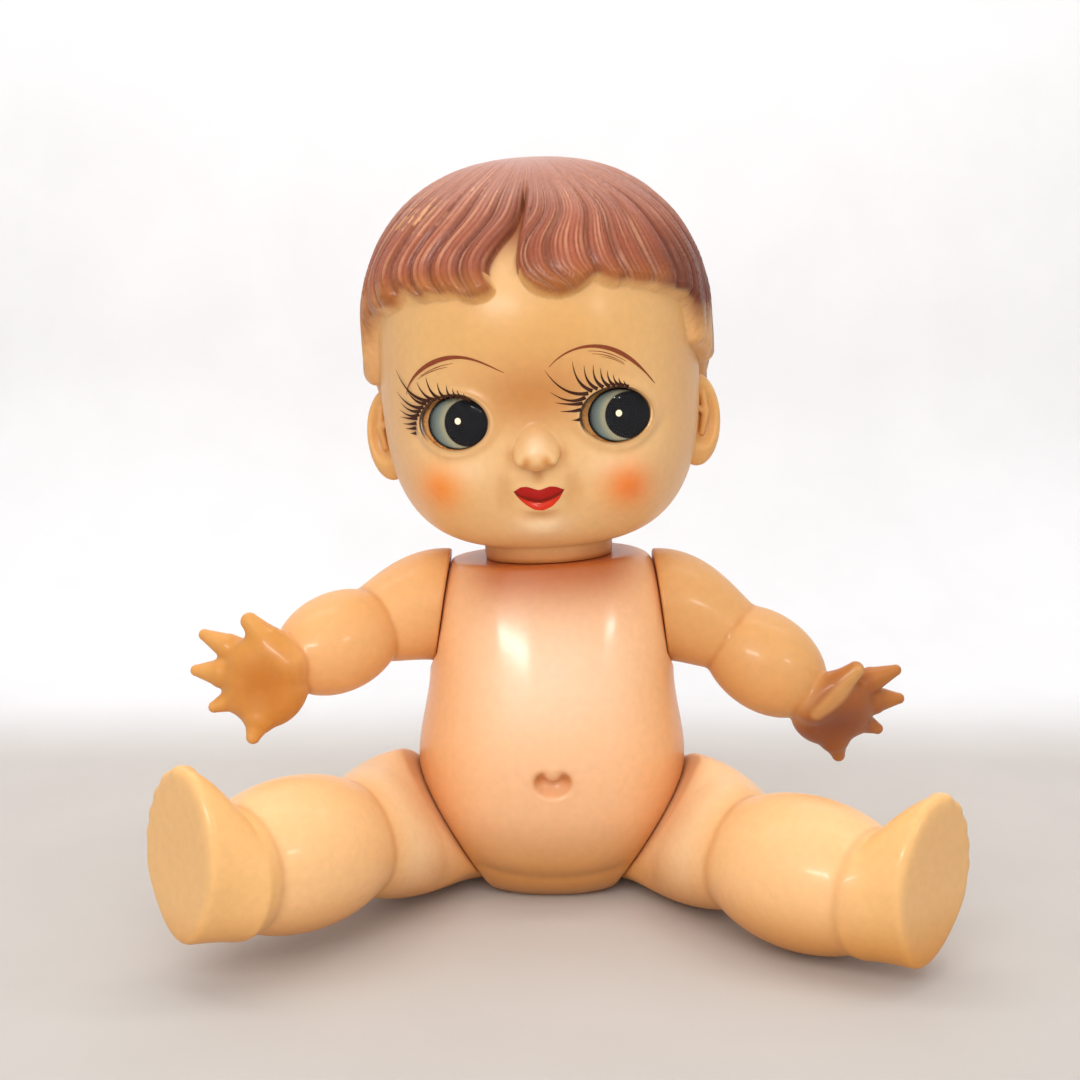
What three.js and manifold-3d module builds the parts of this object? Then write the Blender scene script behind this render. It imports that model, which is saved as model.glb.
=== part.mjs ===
// A seated vintage soft-vinyl doll: six hollow castings that plug together, and two inset three-piece eyes.
// Millimetres, +Z up. The doll faces -Y, its own left is +X, and the origin is the middle of its flat seat.

import * as THREE from "three";
import { mergeVertices } from "three/addons/utils/BufferGeometryUtils.js";
import Module from "manifold-3d";

const wasm = await Module();
wasm.setup();

// Walls and clearances
const WALL = 2.5;
const SEAT_GAP = 0.3;
const PLUG_GAP = 0.3;
const EYE_GAP = 0.3;
const FLANGE_THICKNESS = 3;
const FLANGE_LIP = 3.5;

// Torso
const BELLY_HALF_WIDTH = 71;
const BELLY_HALF_DEPTH = 58;
const BELLY_HEIGHT = 74;
const BELLY_FORWARD = 8;
const BELLY_SPREAD = 46;
const CHEST_HALF_DEPTH = 46;
const SEAT_HALF_WIDTH = 40;
const SEAT_HALF_DEPTH = 36;
const TORSO_SQUARENESS = 2.3;
const NAVEL_HEIGHT = 69;
const NAVEL_HALF_WIDTH = 9;
const NAVEL_HALF_HEIGHT = 6.5;
const NAVEL_DEPTH = 4;

// Shoulder seats: flat faces on the torso's sides
const SHOULDER_REACH = 57.5;
const SHOULDER_HEIGHT = 149.5;
const SHOULDER_TILT = THREE.MathUtils.degToRad(8);
const SHOULDER_BULGE = 7;
const SHOULDER_SEAT_MARGIN = 2.5;
const ARM_PLUG_RADIUS = 16;

// Hip seats: flat faces that look down and out
const HIP_REACH = 53;
const HIP_FORWARD = 3;
const HIP_HEIGHT = 37;
const HIP_TILT = THREE.MathUtils.degToRad(32);
const LEG_PLUG_RADIUS = 23;

// Neck seat: a flat ring on top of the torso, leaning with the head
const NECK_HEIGHT = 176.5;
const NECK_OFFSET = -1.5;
const HEAD_LEAN = THREE.MathUtils.degToRad(3);
const HEAD_TURN = THREE.MathUtils.degToRad(-2.4);
const NECK_RADIUS = 34;
const NECK_PLUG_RADIUS = 27;
const NECK_SHOULDER = 4;

// Head, measured up from the neck seat
const CHIN_HEIGHT = 7;
const HEAD_MIDDLE = 110;
const HEAD_HALF_WIDTH = 83.5;
const HEAD_HALF_DEPTH = 84;
const SKULL_TOP = 202;
const PLAN_SQUARENESS = 2.2;
const JAW_SQUARENESS = 3.2;
const DOME_SQUARENESS = 2.35;
const HAIR_SIDE = 9;
const HAIR_TOP = 5.5;
const HAIR_SINK = 0.4;
const HAIR_EDGE_ROUNDING = 7;
const LOCK_DEPTH = 2;
const FRINGE_HEIGHT = 138;
const PARTING_HEIGHT = 189;
const PARTING_ROUNDING = 4;
const SIDEBURN_HEIGHT = 95;
const NAPE_HEIGHT = 44;
const CROWN_DROP = 9;
const PARTING_EDGE = 0.01;
const LEFT_SWAY_PLACE = 27;
const RIGHT_SWAY_PLACE = 56;
const SWAY_END = 100;

// Face
const EYE_SPACING = 39.5;
const EYE_HEIGHT = 77;
const EYE_TURN = THREE.MathUtils.degToRad(20);
const EYE_HALF_WIDTH = 18;
const EYE_HALF_HEIGHT = 13.8;
const EYE_INSET = 15.5;
const EYE_FRONT = HEAD_HALF_DEPTH - EYE_INSET;
const EYE_DOME = 5;
const EYE_RIM = 1;
const EYE_BACK = 5;
const IRIS_HALF_WIDTH = 14.8;
const IRIS_HALF_HEIGHT = 12.6;
const IRIS_GLANCE = 1.6;
const IRIS_THICKNESS = 0.8;
const EYE_BAND_DEPTH = 3.5;
const CHEEK_SPACING = 44;
const CHEEK_HEIGHT = 49;
const CHEEK_SWELL = 3;
const CHEEK_SPREAD = 15;
const CHIN_BOSS_HEIGHT = 25;
const CHIN_SWELL = 3.5;
const CHIN_SPREAD = 8;
const NOSE_HEIGHT = 64;
const NOSE_HALF_WIDTH = 12;
const NOSE_HALF_HEIGHT = 10;
const NOSE_PROJECTION = 9;
const NOSTRIL_RADII = new THREE.Vector3(1.8, 2.5, 1.4);
const MOUTH_HEIGHT = 38.5;
const MOUTH_HALF_WIDTH = 12.5;
const LIP_HALF_HEIGHT = 3.2;
const LIP_PROJECTION = 3;
const EAR_HEIGHT = 68.5;
const EAR_HALF_HEIGHT = 25;
const EAR_HALF_WIDTH = 15;
const EAR_HALF_THICKNESS = 7;
const EAR_REACH = 81;
const EAR_TURN = THREE.MathUtils.degToRad(28);

// Arms, in the shoulder's own frame: +X out along the seat's axis
const ARM_ROOT_RADIUS = 30.5;
const ARM_STUB = 12;
const ARM_ELBOW = new THREE.Vector3(33, -16, -12);
const ARM_WRIST = new THREE.Vector3(69, -47, -31);
const ARM_HAND = new THREE.Vector3(82.5, -54, -41);
const ELBOW_RADIUS = 22;
const FOREARM_RADIUS = 26;
const FOREARM_HALF_LENGTH = 36;
const PALM_HALF_LENGTH = 22;
const PALM_HALF_WIDTH = 25;
const PALM_HALF_THICKNESS = 14;
const LEFT_ARM_DROP = THREE.MathUtils.degToRad(36);

// Legs, in the hip's own frame: +X out along the seat's axis
const LEG_ROOT_RADIUS = 35.5;
const THIGH_SPLAY = THREE.MathUtils.degToRad(22);
const THIGH_STUB = 14;
const THIGH_RISE = 0.04;
const THIGH_LENGTH = 83;
const THIGH_SWELL = 3.6;
const KNEE_RADIUS = 31;
const LEFT_SHIN_SPLAY = THREE.MathUtils.degToRad(50);
const RIGHT_SHIN_SPLAY = THREE.MathUtils.degToRad(42);
const SHIN_DROP = 0.03;
const CALF_PLACE = 48;
const CALF_HALF_LENGTH = 56;
const CALF_RADIUS = 37;
const ANKLE_PLACE = 102;
const ANKLE_RADIUS = 31;
const SOLE_PLACE = 114;
const SOLE_SPLAY = THREE.MathUtils.degToRad(40);
const FOOT_RISE = 6;
const SOLE_EDGE = 5;
const FOOT_BACK_SCALE = 0.95;
const LEFT_FOOT_LEAN = THREE.MathUtils.degToRad(-11);
const RIGHT_FOOT_LEAN = THREE.MathUtils.degToRad(-1);
const TOE_LENGTH = 46;
const HEEL_LENGTH = 34;
const SOLE_HALF_WIDTH = 26;
const SOLE_FLARE = 0.18;
const SOLE_POINT = 1.25;
const TOE_RADIUS = 4.5;
const TOE_ANGLES = [86, 69, 53, 38, 24].map(THREE.MathUtils.degToRad);
const RIGHT_LEG_LIFT = THREE.MathUtils.degToRad(6);

// Facets
const RING_SIDES = 28;
const LIMB_SIDES = 14;
const LIMB_STEPS = 6;
const CAVITY_SIDES = 10;
const CAVITY_STEPS = 4;
const SMALL_SIDES = 8;
const TORSO_STEPS = 14;
const SKIN_SIDES = 30;
const SKIN_BANDS = 20;
const HAIR_BANDS = 6;
const HOLLOW_SIDES = 18;
const HOLLOW_BANDS = 10;
const DOME_STEPS = 5;

const ORIGIN = new THREE.Vector3();
const X_AXIS = new THREE.Vector3(1, 0, 0);
const Y_AXIS = new THREE.Vector3(0, 1, 0);
const Z_AXIS = new THREE.Vector3(0, 0, 1);

// Turns a closed geometry into a solid that can be joined and cut.
function solid(geometry) {
  const bare = geometry.clone();
  bare.deleteAttribute("normal");
  bare.deleteAttribute("uv");
  const merged = mergeVertices(bare, 1e-4);
  const index = merged.index.array;
  const kept = [];
  for (let i = 0; i < index.length; i += 3) {
    const [a, b, c] = [index[i], index[i + 1], index[i + 2]];
    if (a !== b && b !== c && c !== a) {
      kept.push(a, b, c);
    }
  }
  const mesh = new wasm.Mesh({
    numProp: 3,
    vertProperties: new Float32Array(merged.attributes.position.array),
    triVerts: new Uint32Array(kept),
  });
  return new wasm.Manifold(mesh);
}

function join(solids) {
  return solids.reduce((whole, next) => whole.add(next));
}

function cut(whole, tools) {
  return tools.reduce((left, tool) => left.subtract(tool), whole);
}

function namedMesh(name, body, material) {
  const { vertProperties, triVerts } = body.getMesh();
  const geometry = new THREE.BufferGeometry();
  geometry.setAttribute("position", new THREE.BufferAttribute(vertProperties, 3));
  geometry.setIndex(new THREE.BufferAttribute(triVerts, 1));
  geometry.computeVertexNormals();
  const mesh = new THREE.Mesh(geometry, material);
  mesh.name = name;
  return mesh;
}

// The mirror image in the YZ plane, with its faces still pointing out.
function mirrored(geometry) {
  const copy = geometry.index ? geometry.toNonIndexed() : geometry.clone();
  copy.scale(-1, 1, 1);
  const position = copy.attributes.position;
  const first = new THREE.Vector3();
  const second = new THREE.Vector3();
  for (let i = 0; i < position.count; i += 3) {
    first.fromBufferAttribute(position, i);
    second.fromBufferAttribute(position, i + 1);
    position.setXYZ(i, second.x, second.y, second.z);
    position.setXYZ(i + 1, first.x, first.y, first.z);
  }
  return copy;
}

// A skin through rings of equal point counts, closed by a fan at each end.
function loft(rings) {
  const count = rings[0].length;
  const points = rings.flat();
  const ends = [rings[0], rings[rings.length - 1]].map((ring) => {
    const middle = new THREE.Vector3();
    ring.forEach((point) => middle.addScaledVector(point, 1 / count));
    return middle;
  });
  points.push(...ends);
  const faces = [];
  for (let i = 0; i < count; i += 1) {
    const j = (i + 1) % count;
    faces.push(points.length - 2, j, i);
    for (let k = 0; k < rings.length - 1; k += 1) {
      const low = k * count;
      const high = low + count;
      faces.push(low + i, low + j, high + j, low + i, high + j, high + i);
    }
    const last = (rings.length - 1) * count;
    faces.push(points.length - 1, last + i, last + j);
  }
  const geometry = new THREE.BufferGeometry().setFromPoints(points);
  geometry.setIndex(faces);
  return geometry;
}

// One ring of a rounded box-like oval, level with the ground.
function ovalRing(halfWidth, halfDepth, middle, squareness, sides) {
  return Array.from({ length: sides }, (_, i) => {
    const angle = (i / sides) * Math.PI * 2;
    const c = Math.cos(angle);
    const s = Math.sin(angle);
    const x = halfWidth * Math.sign(c) * Math.abs(c) ** (2 / squareness);
    const y = halfDepth * Math.sign(s) * Math.abs(s) ** (2 / squareness);
    return new THREE.Vector3(middle.x + x, middle.y + y, middle.z);
  });
}

// A round bar along a curve, whose radius follows the share of the way along.
function sweep(curve, radiusAt, steps, sides) {
  const frames = curve.computeFrenetFrames(steps, false);
  const rings = [];
  for (let k = 0; k <= steps; k += 1) {
    const middle = curve.getPointAt(k / steps);
    const radius = radiusAt(k / steps);
    rings.push(
      Array.from({ length: sides }, (_, i) => {
        const angle = (i / sides) * Math.PI * 2;
        return middle
          .clone()
          .addScaledVector(frames.normals[k], radius * Math.cos(angle))
          .addScaledVector(frames.binormals[k], radius * Math.sin(angle));
      }),
    );
  }
  return loft(rings);
}

// An ellipsoid whose second radius lies along the given direction.
function ellipsoid(radii, middle, along = Y_AXIS, sides = 12) {
  const geometry = new THREE.SphereGeometry(1, sides, Math.round(sides * 0.6));
  geometry.scale(radii.x, radii.y, radii.z);
  geometry.applyQuaternion(new THREE.Quaternion().setFromUnitVectors(Y_AXIS, along));
  geometry.translate(middle.x, middle.y, middle.z);
  return geometry;
}

// A solid of revolution about +X from [distance along X, radius] pairs that start and end on the axis.
function turned(profile, sides) {
  const geometry = new THREE.LatheGeometry(profile.map(([x, r]) => new THREE.Vector2(r, x)), sides);
  geometry.rotateZ(-Math.PI / 2);
  return geometry;
}

// A round bar about +X between two distances along it.
function bar(from, to, radius, sides) {
  return turned([[from, 0], [from, radius], [to, radius], [to, 0]], sides);
}

// A straight elliptical bar along Y between two depths.
function ovalBar(halfWidth, halfHeight, middle, front, back, sides) {
  const geometry = new THREE.CylinderGeometry(1, 1, back - front, sides);
  geometry.scale(halfWidth, 1, halfHeight);
  geometry.translate(middle.x, (front + back) / 2, middle.z);
  return geometry;
}

// The half space on the far side of a plane, as a large block.
function farSide(point, normal, size) {
  const geometry = new THREE.BoxGeometry(size, size, size);
  geometry.translate(0, size / 2, 0);
  geometry.applyQuaternion(new THREE.Quaternion().setFromUnitVectors(Y_AXIS, normal));
  geometry.translate(point.x, point.y, point.z);
  return solid(geometry);
}

// The plug of a casting: a neck through the torso's wall and a flange behind it, about +X.
function plug(radius, sides) {
  const front = SEAT_GAP + WALL;
  const behind = -(WALL + SEAT_GAP);
  const tip = behind - FLANGE_THICKNESS;
  return turned(
    [
      [tip, 0],
      [tip, radius + FLANGE_LIP * 0.4],
      [(tip + behind) / 2, radius + FLANGE_LIP],
      [behind, radius + FLANGE_LIP],
      [behind, radius],
      [front, radius],
      [front, 0],
    ],
    sides,
  );
}

function plugBore(radius, depth, sides) {
  const mouth = -(WALL + SEAT_GAP + FLANGE_THICKNESS) * 2;
  return bar(mouth, depth, radius - WALL, sides);
}

// A faceted hole whose flats clear a plug at every turn
function plugHole(radius, sides) {
  const reach = WALL * 3;
  const acrossFlats = Math.cos(Math.PI / sides);
  return bar(-reach, reach, (radius + PLUG_GAP) / acrossFlats, sides);
}

// Where each seat lies and which way it faces
const shoulderPoint = new THREE.Vector3(SHOULDER_REACH, 0, SHOULDER_HEIGHT);
const shoulderNormal = new THREE.Vector3(Math.cos(SHOULDER_TILT), 0, Math.sin(SHOULDER_TILT));
const hipPoint = new THREE.Vector3(HIP_REACH, -HIP_FORWARD, HIP_HEIGHT);
const hipNormal = new THREE.Vector3(Math.cos(HIP_TILT), 0, -Math.sin(HIP_TILT));
const neckPoint = new THREE.Vector3(NECK_OFFSET, 0, NECK_HEIGHT);
const neckNormal = new THREE.Vector3(-Math.sin(HEAD_LEAN), 0, Math.cos(HEAD_LEAN));

function acrossBody(vector, side) {
  return new THREE.Vector3(vector.x * side, vector.y, vector.z);
}

const seats = [];
for (const side of [1, -1]) {
  seats.push({
    point: acrossBody(shoulderPoint, side),
    normal: acrossBody(shoulderNormal, side),
    plugRadius: ARM_PLUG_RADIUS,
    discRadius: ARM_ROOT_RADIUS + SHOULDER_SEAT_MARGIN,
  });
  seats.push({
    point: acrossBody(hipPoint, side),
    normal: acrossBody(hipNormal, side),
    plugRadius: LEG_PLUG_RADIUS,
  });
}
seats.push({ point: neckPoint, normal: neckNormal, plugRadius: NECK_PLUG_RADIUS });

// A smooth hump, one at its middle
function bell(distance, spread) {
  return Math.exp(-((distance / spread) ** 2));
}

// How far the belly pushes the torso's rings forward at a height
function bellyForward(height) {
  return BELLY_FORWARD * bell(height - BELLY_HEIGHT, BELLY_SPREAD);
}

// Torso: a lofted egg with a flat cut at each seat, hollow, with one hole for each plug
function torsoForm(inset, sides, steps) {
  const shoulderHalfWidth = SHOULDER_REACH + SHOULDER_BULGE;
  const neckRim = NECK_RADIUS + NECK_SHOULDER;
  const belowNeck = NECK_HEIGHT - SHOULDER_HEIGHT;
  const lowHalfWidth = (SEAT_HALF_WIDTH + BELLY_HALF_WIDTH) / 2;
  const lowHalfDepth = (SEAT_HALF_DEPTH + BELLY_HALF_DEPTH) / 2;
  const waistHalfDepth = (BELLY_HALF_DEPTH + CHEST_HALF_DEPTH) / 2;
  const sections = [
    [SEAT_HALF_WIDTH, SEAT_HALF_DEPTH, 0],
    [lowHalfWidth, lowHalfDepth, BELLY_HEIGHT * 0.14],
    [BELLY_HALF_WIDTH * 0.95, BELLY_HALF_DEPTH * 0.96, BELLY_HEIGHT * 0.5],
    [BELLY_HALF_WIDTH, BELLY_HALF_DEPTH, BELLY_HEIGHT],
    [BELLY_HALF_WIDTH * 0.92, waistHalfDepth, (BELLY_HEIGHT + SHOULDER_HEIGHT) / 2],
    [shoulderHalfWidth, CHEST_HALF_DEPTH, SHOULDER_HEIGHT],
    [shoulderHalfWidth * 0.92, CHEST_HALF_DEPTH * 0.93, SHOULDER_HEIGHT + belowNeck * 0.6],
    [(shoulderHalfWidth + neckRim) / 2, (CHEST_HALF_DEPTH + neckRim) / 2, NECK_HEIGHT],
    [neckRim, neckRim, NECK_HEIGHT + NECK_SHOULDER],
  ];
  const spine = new THREE.CatmullRomCurve3(
    sections.map(([w, d, z]) => new THREE.Vector3(w, d, z)),
    false,
    "catmullrom",
  );
  const rings = spine.getPoints(steps).map(({ x, y, z }) => {
    const middle = new THREE.Vector3(0, -bellyForward(z), z);
    return ovalRing(x - inset, y - inset, middle, TORSO_SQUARENESS, sides);
  });
  return solid(loft(rings));
}

// Cuts each seat flat: a disc at the shoulders, as the flank swells out below, and a whole plane elsewhere.
function trimAtSeats(form, inset) {
  const size = NECK_HEIGHT * 2;
  return seats.reduce((left, seat) => {
    const face = seat.point.clone().addScaledVector(seat.normal, -inset);
    if (!seat.discRadius) {
      return left.subtract(farSide(face, seat.normal, size));
    }
    return left.subtract(aboutSeat(bar(-inset, size, seat.discRadius, LIMB_SIDES), seat));
  }, form);
}

function aboutSeat(geometry, { point, normal }) {
  geometry.applyQuaternion(new THREE.Quaternion().setFromUnitVectors(X_AXIS, normal));
  geometry.translate(point.x, point.y, point.z);
  return solid(geometry);
}

function makeTorso() {
  const outside = trimAtSeats(torsoForm(0, RING_SIDES, TORSO_STEPS), 0);
  const underside = farSide(new THREE.Vector3(0, 0, WALL), new THREE.Vector3(0, 0, -1), NECK_HEIGHT * 2);
  const inside = trimAtSeats(torsoForm(WALL, HOLLOW_SIDES, TORSO_STEPS / 2), WALL).subtract(underside);
  const holes = seats.map((seat) => aboutSeat(plugHole(seat.plugRadius, LIMB_SIDES), seat));
  const navelMiddle = new THREE.Vector3(0, -BELLY_HALF_DEPTH - bellyForward(NAVEL_HEIGHT), NAVEL_HEIGHT);
  const navelRadii = new THREE.Vector3(NAVEL_HALF_WIDTH, NAVEL_DEPTH, NAVEL_HALF_HEIGHT);
  const navel = solid(ellipsoid(navelRadii, navelMiddle));
  const backing = solid(ellipsoid(navelRadii.clone().addScalar(WALL), navelMiddle));
  return cut(outside, [inside.subtract(backing), navel, ...holes]);
}

// Head: squared-off ball radius in a direction from its middle
function headRadius(direction, grow) {
  const above = direction.z > 0;
  const width = HEAD_HALF_WIDTH + grow.side;
  const depth = HEAD_HALF_DEPTH + grow.side;
  const height = above ? SKULL_TOP - HEAD_MIDDLE + grow.top : HEAD_MIDDLE - CHIN_HEIGHT + grow.bottom;
  const squareness = above ? DOME_SQUARENESS : JAW_SQUARENESS;
  const plan =
    Math.abs(direction.x / width) ** PLAN_SQUARENESS + Math.abs(direction.y / depth) ** PLAN_SQUARENESS;
  const upright = Math.abs(direction.z / height) ** squareness;
  return (plan ** (squareness / PLAN_SQUARENESS) + upright) ** (-1 / squareness);
}

// How far the face swells out of the plain ball at a point on its front
function faceSwell(point) {
  if (point.y > 0) {
    return 0;
  }
  const z = point.z + HEAD_MIDDLE;
  const front = Math.min(1, (-2 * point.y) / HEAD_HALF_DEPTH);
  const cheek = bell(Math.abs(point.x) - CHEEK_SPACING, CHEEK_SPREAD) * bell(z - CHEEK_HEIGHT, CHEEK_SPREAD);
  const chin = bell(point.x, CHIN_SPREAD * 1.4) * bell(z - CHIN_BOSS_HEIGHT, CHIN_SPREAD);
  const band = bell(point.x, EYE_SPACING * 1.6) * bell(z - EYE_HEIGHT, EYE_HALF_HEIGHT * 1.5);
  return front * (CHEEK_SWELL * cheek + CHIN_SWELL * chin - EYE_BAND_DEPTH * band);
}

function ballOf(radiusAt, sides, bands) {
  const geometry = new THREE.SphereGeometry(1, sides, bands);
  geometry.rotateX(Math.PI / 2);
  const position = geometry.attributes.position;
  const point = new THREE.Vector3();
  for (let i = 0; i < position.count; i += 1) {
    point.fromBufferAttribute(position, i).normalize();
    point.multiplyScalar(radiusAt(point));
    position.setXYZ(i, point.x, point.y, point.z + HEAD_MIDDLE);
  }
  return solid(geometry);
}

function skinBall(inset, sides, bands) {
  const grow = { side: -inset, top: -inset, bottom: -inset };
  return ballOf((direction) => {
    const radius = headRadius(direction, grow);
    return radius + faceSwell(direction.clone().multiplyScalar(radius));
  }, sides, bands);
}

// The parting's two edges, as [height, degrees round the head from the front] from the fringe up
const partingLeft = [
  [FRINGE_HEIGHT + 3.5, -11],
  [FRINGE_HEIGHT + 10, -16],
  [FRINGE_HEIGHT + 17, -17.6],
  [PARTING_HEIGHT - 26, -15.2],
  [PARTING_HEIGHT - 19, -8.4],
  [PARTING_HEIGHT - 11, -2.7],
  [PARTING_HEIGHT, 0],
];
const partingRight = [
  [FRINGE_HEIGHT + 1, 2.2],
  [FRINGE_HEIGHT + 7, -2],
  [FRINGE_HEIGHT + 14, -3.3],
  [PARTING_HEIGHT - 27, -3.2],
  [PARTING_HEIGHT - 17, -1.9],
  [PARTING_HEIGHT, 0],
];
// How far the locks beside the fringe sway from straight down, in the same way
const swayLeft = [
  [FRINGE_HEIGHT, -9],
  [FRINGE_HEIGHT + 14, -15],
  [FRINGE_HEIGHT + 26, -13],
  [SKULL_TOP, 0],
];
const swayRight = [
  [FRINGE_HEIGHT, 0],
  [FRINGE_HEIGHT + 14, 2],
  [FRINGE_HEIGHT + 26, 0],
  [SKULL_TOP, -14],
];

// The locks: degrees from the parting, height of the hair's edge there, and 1 on a ridge or 0 in a valley
const locks = [
  [-180, NAPE_HEIGHT, 1], [-168, NAPE_HEIGHT, 0], [-156, NAPE_HEIGHT, 1], [-144, NAPE_HEIGHT, 0],
  [-132, NAPE_HEIGHT, 1], [-120, NAPE_HEIGHT + 1, 0], [-109, NAPE_HEIGHT + 9, 1], [-104, EAR_HEIGHT, 1],
  [-101, SIDEBURN_HEIGHT - 7, 1], [-95, SIDEBURN_HEIGHT + 2, 0], [-87, SIDEBURN_HEIGHT + 2, 1],
  [-80, SIDEBURN_HEIGHT - 2, 1], [-75.5, SIDEBURN_HEIGHT + 2, 1], [-72.5, SIDEBURN_HEIGHT + 22, 1],
  [-69, FRINGE_HEIGHT - 9, 1], [-63, FRINGE_HEIGHT - 6, 0], [-56, FRINGE_HEIGHT - 5, 1],
  [-49, FRINGE_HEIGHT - 3, 1], [-42, FRINGE_HEIGHT, 1], [-35, FRINGE_HEIGHT + 6, 0],
  [-31, FRINGE_HEIGHT, 1], [-27, FRINGE_HEIGHT + 1, 1], [-22, FRINGE_HEIGHT, 1], [-17, FRINGE_HEIGHT + 2, 0],
  [-12, FRINGE_HEIGHT - 1.5, 1], [-8, FRINGE_HEIGHT - 1, 0], [-4, FRINGE_HEIGHT - 1, 1],
  [-PARTING_EDGE, FRINGE_HEIGHT + 3.5, 1], [0, FRINGE_HEIGHT + 3.5, 0], [PARTING_EDGE, FRINGE_HEIGHT + 2, 1],
  [4, FRINGE_HEIGHT - 1, 1], [7, FRINGE_HEIGHT - 1.5, 1], [11, FRINGE_HEIGHT - 0.5, 1],
  [15, FRINGE_HEIGHT + 1.5, 1], [20.5, FRINGE_HEIGHT + 7, 0], [24, FRINGE_HEIGHT + 3.5, 1],
  [29, FRINGE_HEIGHT + 4, 0], [33, FRINGE_HEIGHT + 2.5, 1], [37, FRINGE_HEIGHT + 1, 1],
  [40, FRINGE_HEIGHT + 2, 0], [45, FRINGE_HEIGHT - 0.5, 1], [51, FRINGE_HEIGHT - 3, 0],
  [56, FRINGE_HEIGHT - 4, 1], [60, FRINGE_HEIGHT - 7, 1], [62, SIDEBURN_HEIGHT + 26, 1],
  [63.5, SIDEBURN_HEIGHT + 15, 1], [70, SIDEBURN_HEIGHT + 10, 1], [77, SIDEBURN_HEIGHT + 5, 0],
  [82, SIDEBURN_HEIGHT + 2, 1], [89, SIDEBURN_HEIGHT + 3, 1], [97, SIDEBURN_HEIGHT + 1, 0],
  [101, SIDEBURN_HEIGHT - 7, 1], [104, EAR_HEIGHT, 1], [109, NAPE_HEIGHT + 9, 1], [120, NAPE_HEIGHT + 1, 0],
  [132, NAPE_HEIGHT, 1], [144, NAPE_HEIGHT, 0], [156, NAPE_HEIGHT, 1], [168, NAPE_HEIGHT, 0],
];

// The value at a height along a guide of [height, value] pairs
function along(guide, height) {
  const above = guide.findIndex(([z]) => z > height);
  if (above === 0) {
    return guide[0][1];
  }
  if (above < 0) {
    return guide[guide.length - 1][1];
  }
  const [lowHeight, low] = guide[above - 1];
  const [highHeight, high] = guide[above];
  return THREE.MathUtils.lerp(low, high, (height - lowHeight) / (highHeight - lowHeight));
}

// Where a lock lies round the head at a height, in radians from the front
function lockTurn(place, height) {
  const edges = [along(partingLeft, height), along(partingRight, height)];
  const onLeft = place < 0;
  const middle = place === 0 ? (edges[0] + edges[1]) / 2 : edges[onLeft ? 0 : 1];
  const far = onLeft ? LEFT_SWAY_PLACE : RIGHT_SWAY_PLACE;
  const sway = along(onLeft ? swayLeft : swayRight, height);
  const share = Math.min(1, Math.abs(place) / far);
  const fade = THREE.MathUtils.clamp((SWAY_END - Math.abs(place)) / (SWAY_END - far), 0, 1);
  return THREE.MathUtils.degToRad(place + THREE.MathUtils.lerp(middle, sway, share) * fade);
}

// A point on the skull at a height, grown outwards to carry the hair
function capPoint(turn, height, grow) {
  const top = SKULL_TOP - HEAD_MIDDLE + grow * (HAIR_TOP / HAIR_SIDE);
  const above = height > HEAD_MIDDLE;
  const squareness = above ? DOME_SQUARENESS : JAW_SQUARENESS;
  const reach = above ? top : HEAD_MIDDLE - CHIN_HEIGHT;
  const upright = Math.min(1, Math.abs(height - HEAD_MIDDLE) / reach) ** squareness;
  const plan = (1 - upright) ** (PLAN_SQUARENESS / squareness);
  const width = HEAD_HALF_WIDTH + grow;
  const depth = HEAD_HALF_DEPTH + grow;
  const across = Math.abs(Math.sin(turn) / width) ** PLAN_SQUARENESS;
  const ahead = Math.abs(Math.cos(turn) / depth) ** PLAN_SQUARENESS;
  const radius = (plan / (across + ahead)) ** (1 / PLAN_SQUARENESS);
  return new THREE.Vector3(radius * Math.sin(turn), -radius * Math.cos(turn), height);
}

// How full the hair is beside the parting: nothing on it, and all of it a little way off
function fullness(place, height) {
  if (height >= PARTING_HEIGHT) {
    return 1;
  }
  const off = Math.min(1, (Math.abs(place) - PARTING_EDGE) / PARTING_ROUNDING);
  return off < 0 ? -HAIR_SINK : Math.sqrt(1 - (1 - off) ** 2);
}

// The hair: locks that run from the crown to the hair's edge, whose rim dips into the skull
function hairForm(used, bands, inset, edgeRise) {
  const crown = SKULL_TOP + HAIR_TOP - inset;
  const lastRow = crown - CROWN_DROP;
  const column = ([place, edge, ridge]) => {
    const start = edge + edgeRise;
    const full = start + HAIR_EDGE_ROUNDING;
    const rows = [
      [start - HAIR_EDGE_ROUNDING / 2, -HAIR_SINK],
      [start, 0],
      [start + HAIR_EDGE_ROUNDING / 3, 0.7],
    ];
    for (let k = 0; k <= bands; k += 1) {
      rows.push([THREE.MathUtils.lerp(full, lastRow, k / bands), 1]);
    }
    rows.push([crown - CROWN_DROP / 2, 1]);
    rows.push([crown - CROWN_DROP / 6, 1]);
    return rows.map(([height, share]) => {
      const inLocks = share > 0.5 && height < lastRow;
      const valley = inLocks ? LOCK_DEPTH * (1 - ridge) : 0;
      const grow = HAIR_SIDE * Math.min(share, fullness(place, height)) - inset - valley;
      return capPoint(lockTurn(place, height), height, grow);
    });
  };
  const columns = used.map(column);
  return solid(loft(columns[0].map((_, row) => columns.map((points) => points[row]))));
}

// The depth of the bare face's surface at a place on its front
function faceFront(x, z) {
  const direction = new THREE.Vector3(x, -HEAD_HALF_DEPTH, z - HEAD_MIDDLE);
  for (let pass = 0; pass < 6; pass += 1) {
    const unit = direction.clone().normalize();
    const reach = headRadius(unit, { side: 0, top: 0, bottom: 0 });
    const found = unit.multiplyScalar(reach + faceSwell(unit.clone().multiplyScalar(reach)));
    direction.set(x, found.y, z - HEAD_MIDDLE);
  }
  return direction.y;
}

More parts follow.
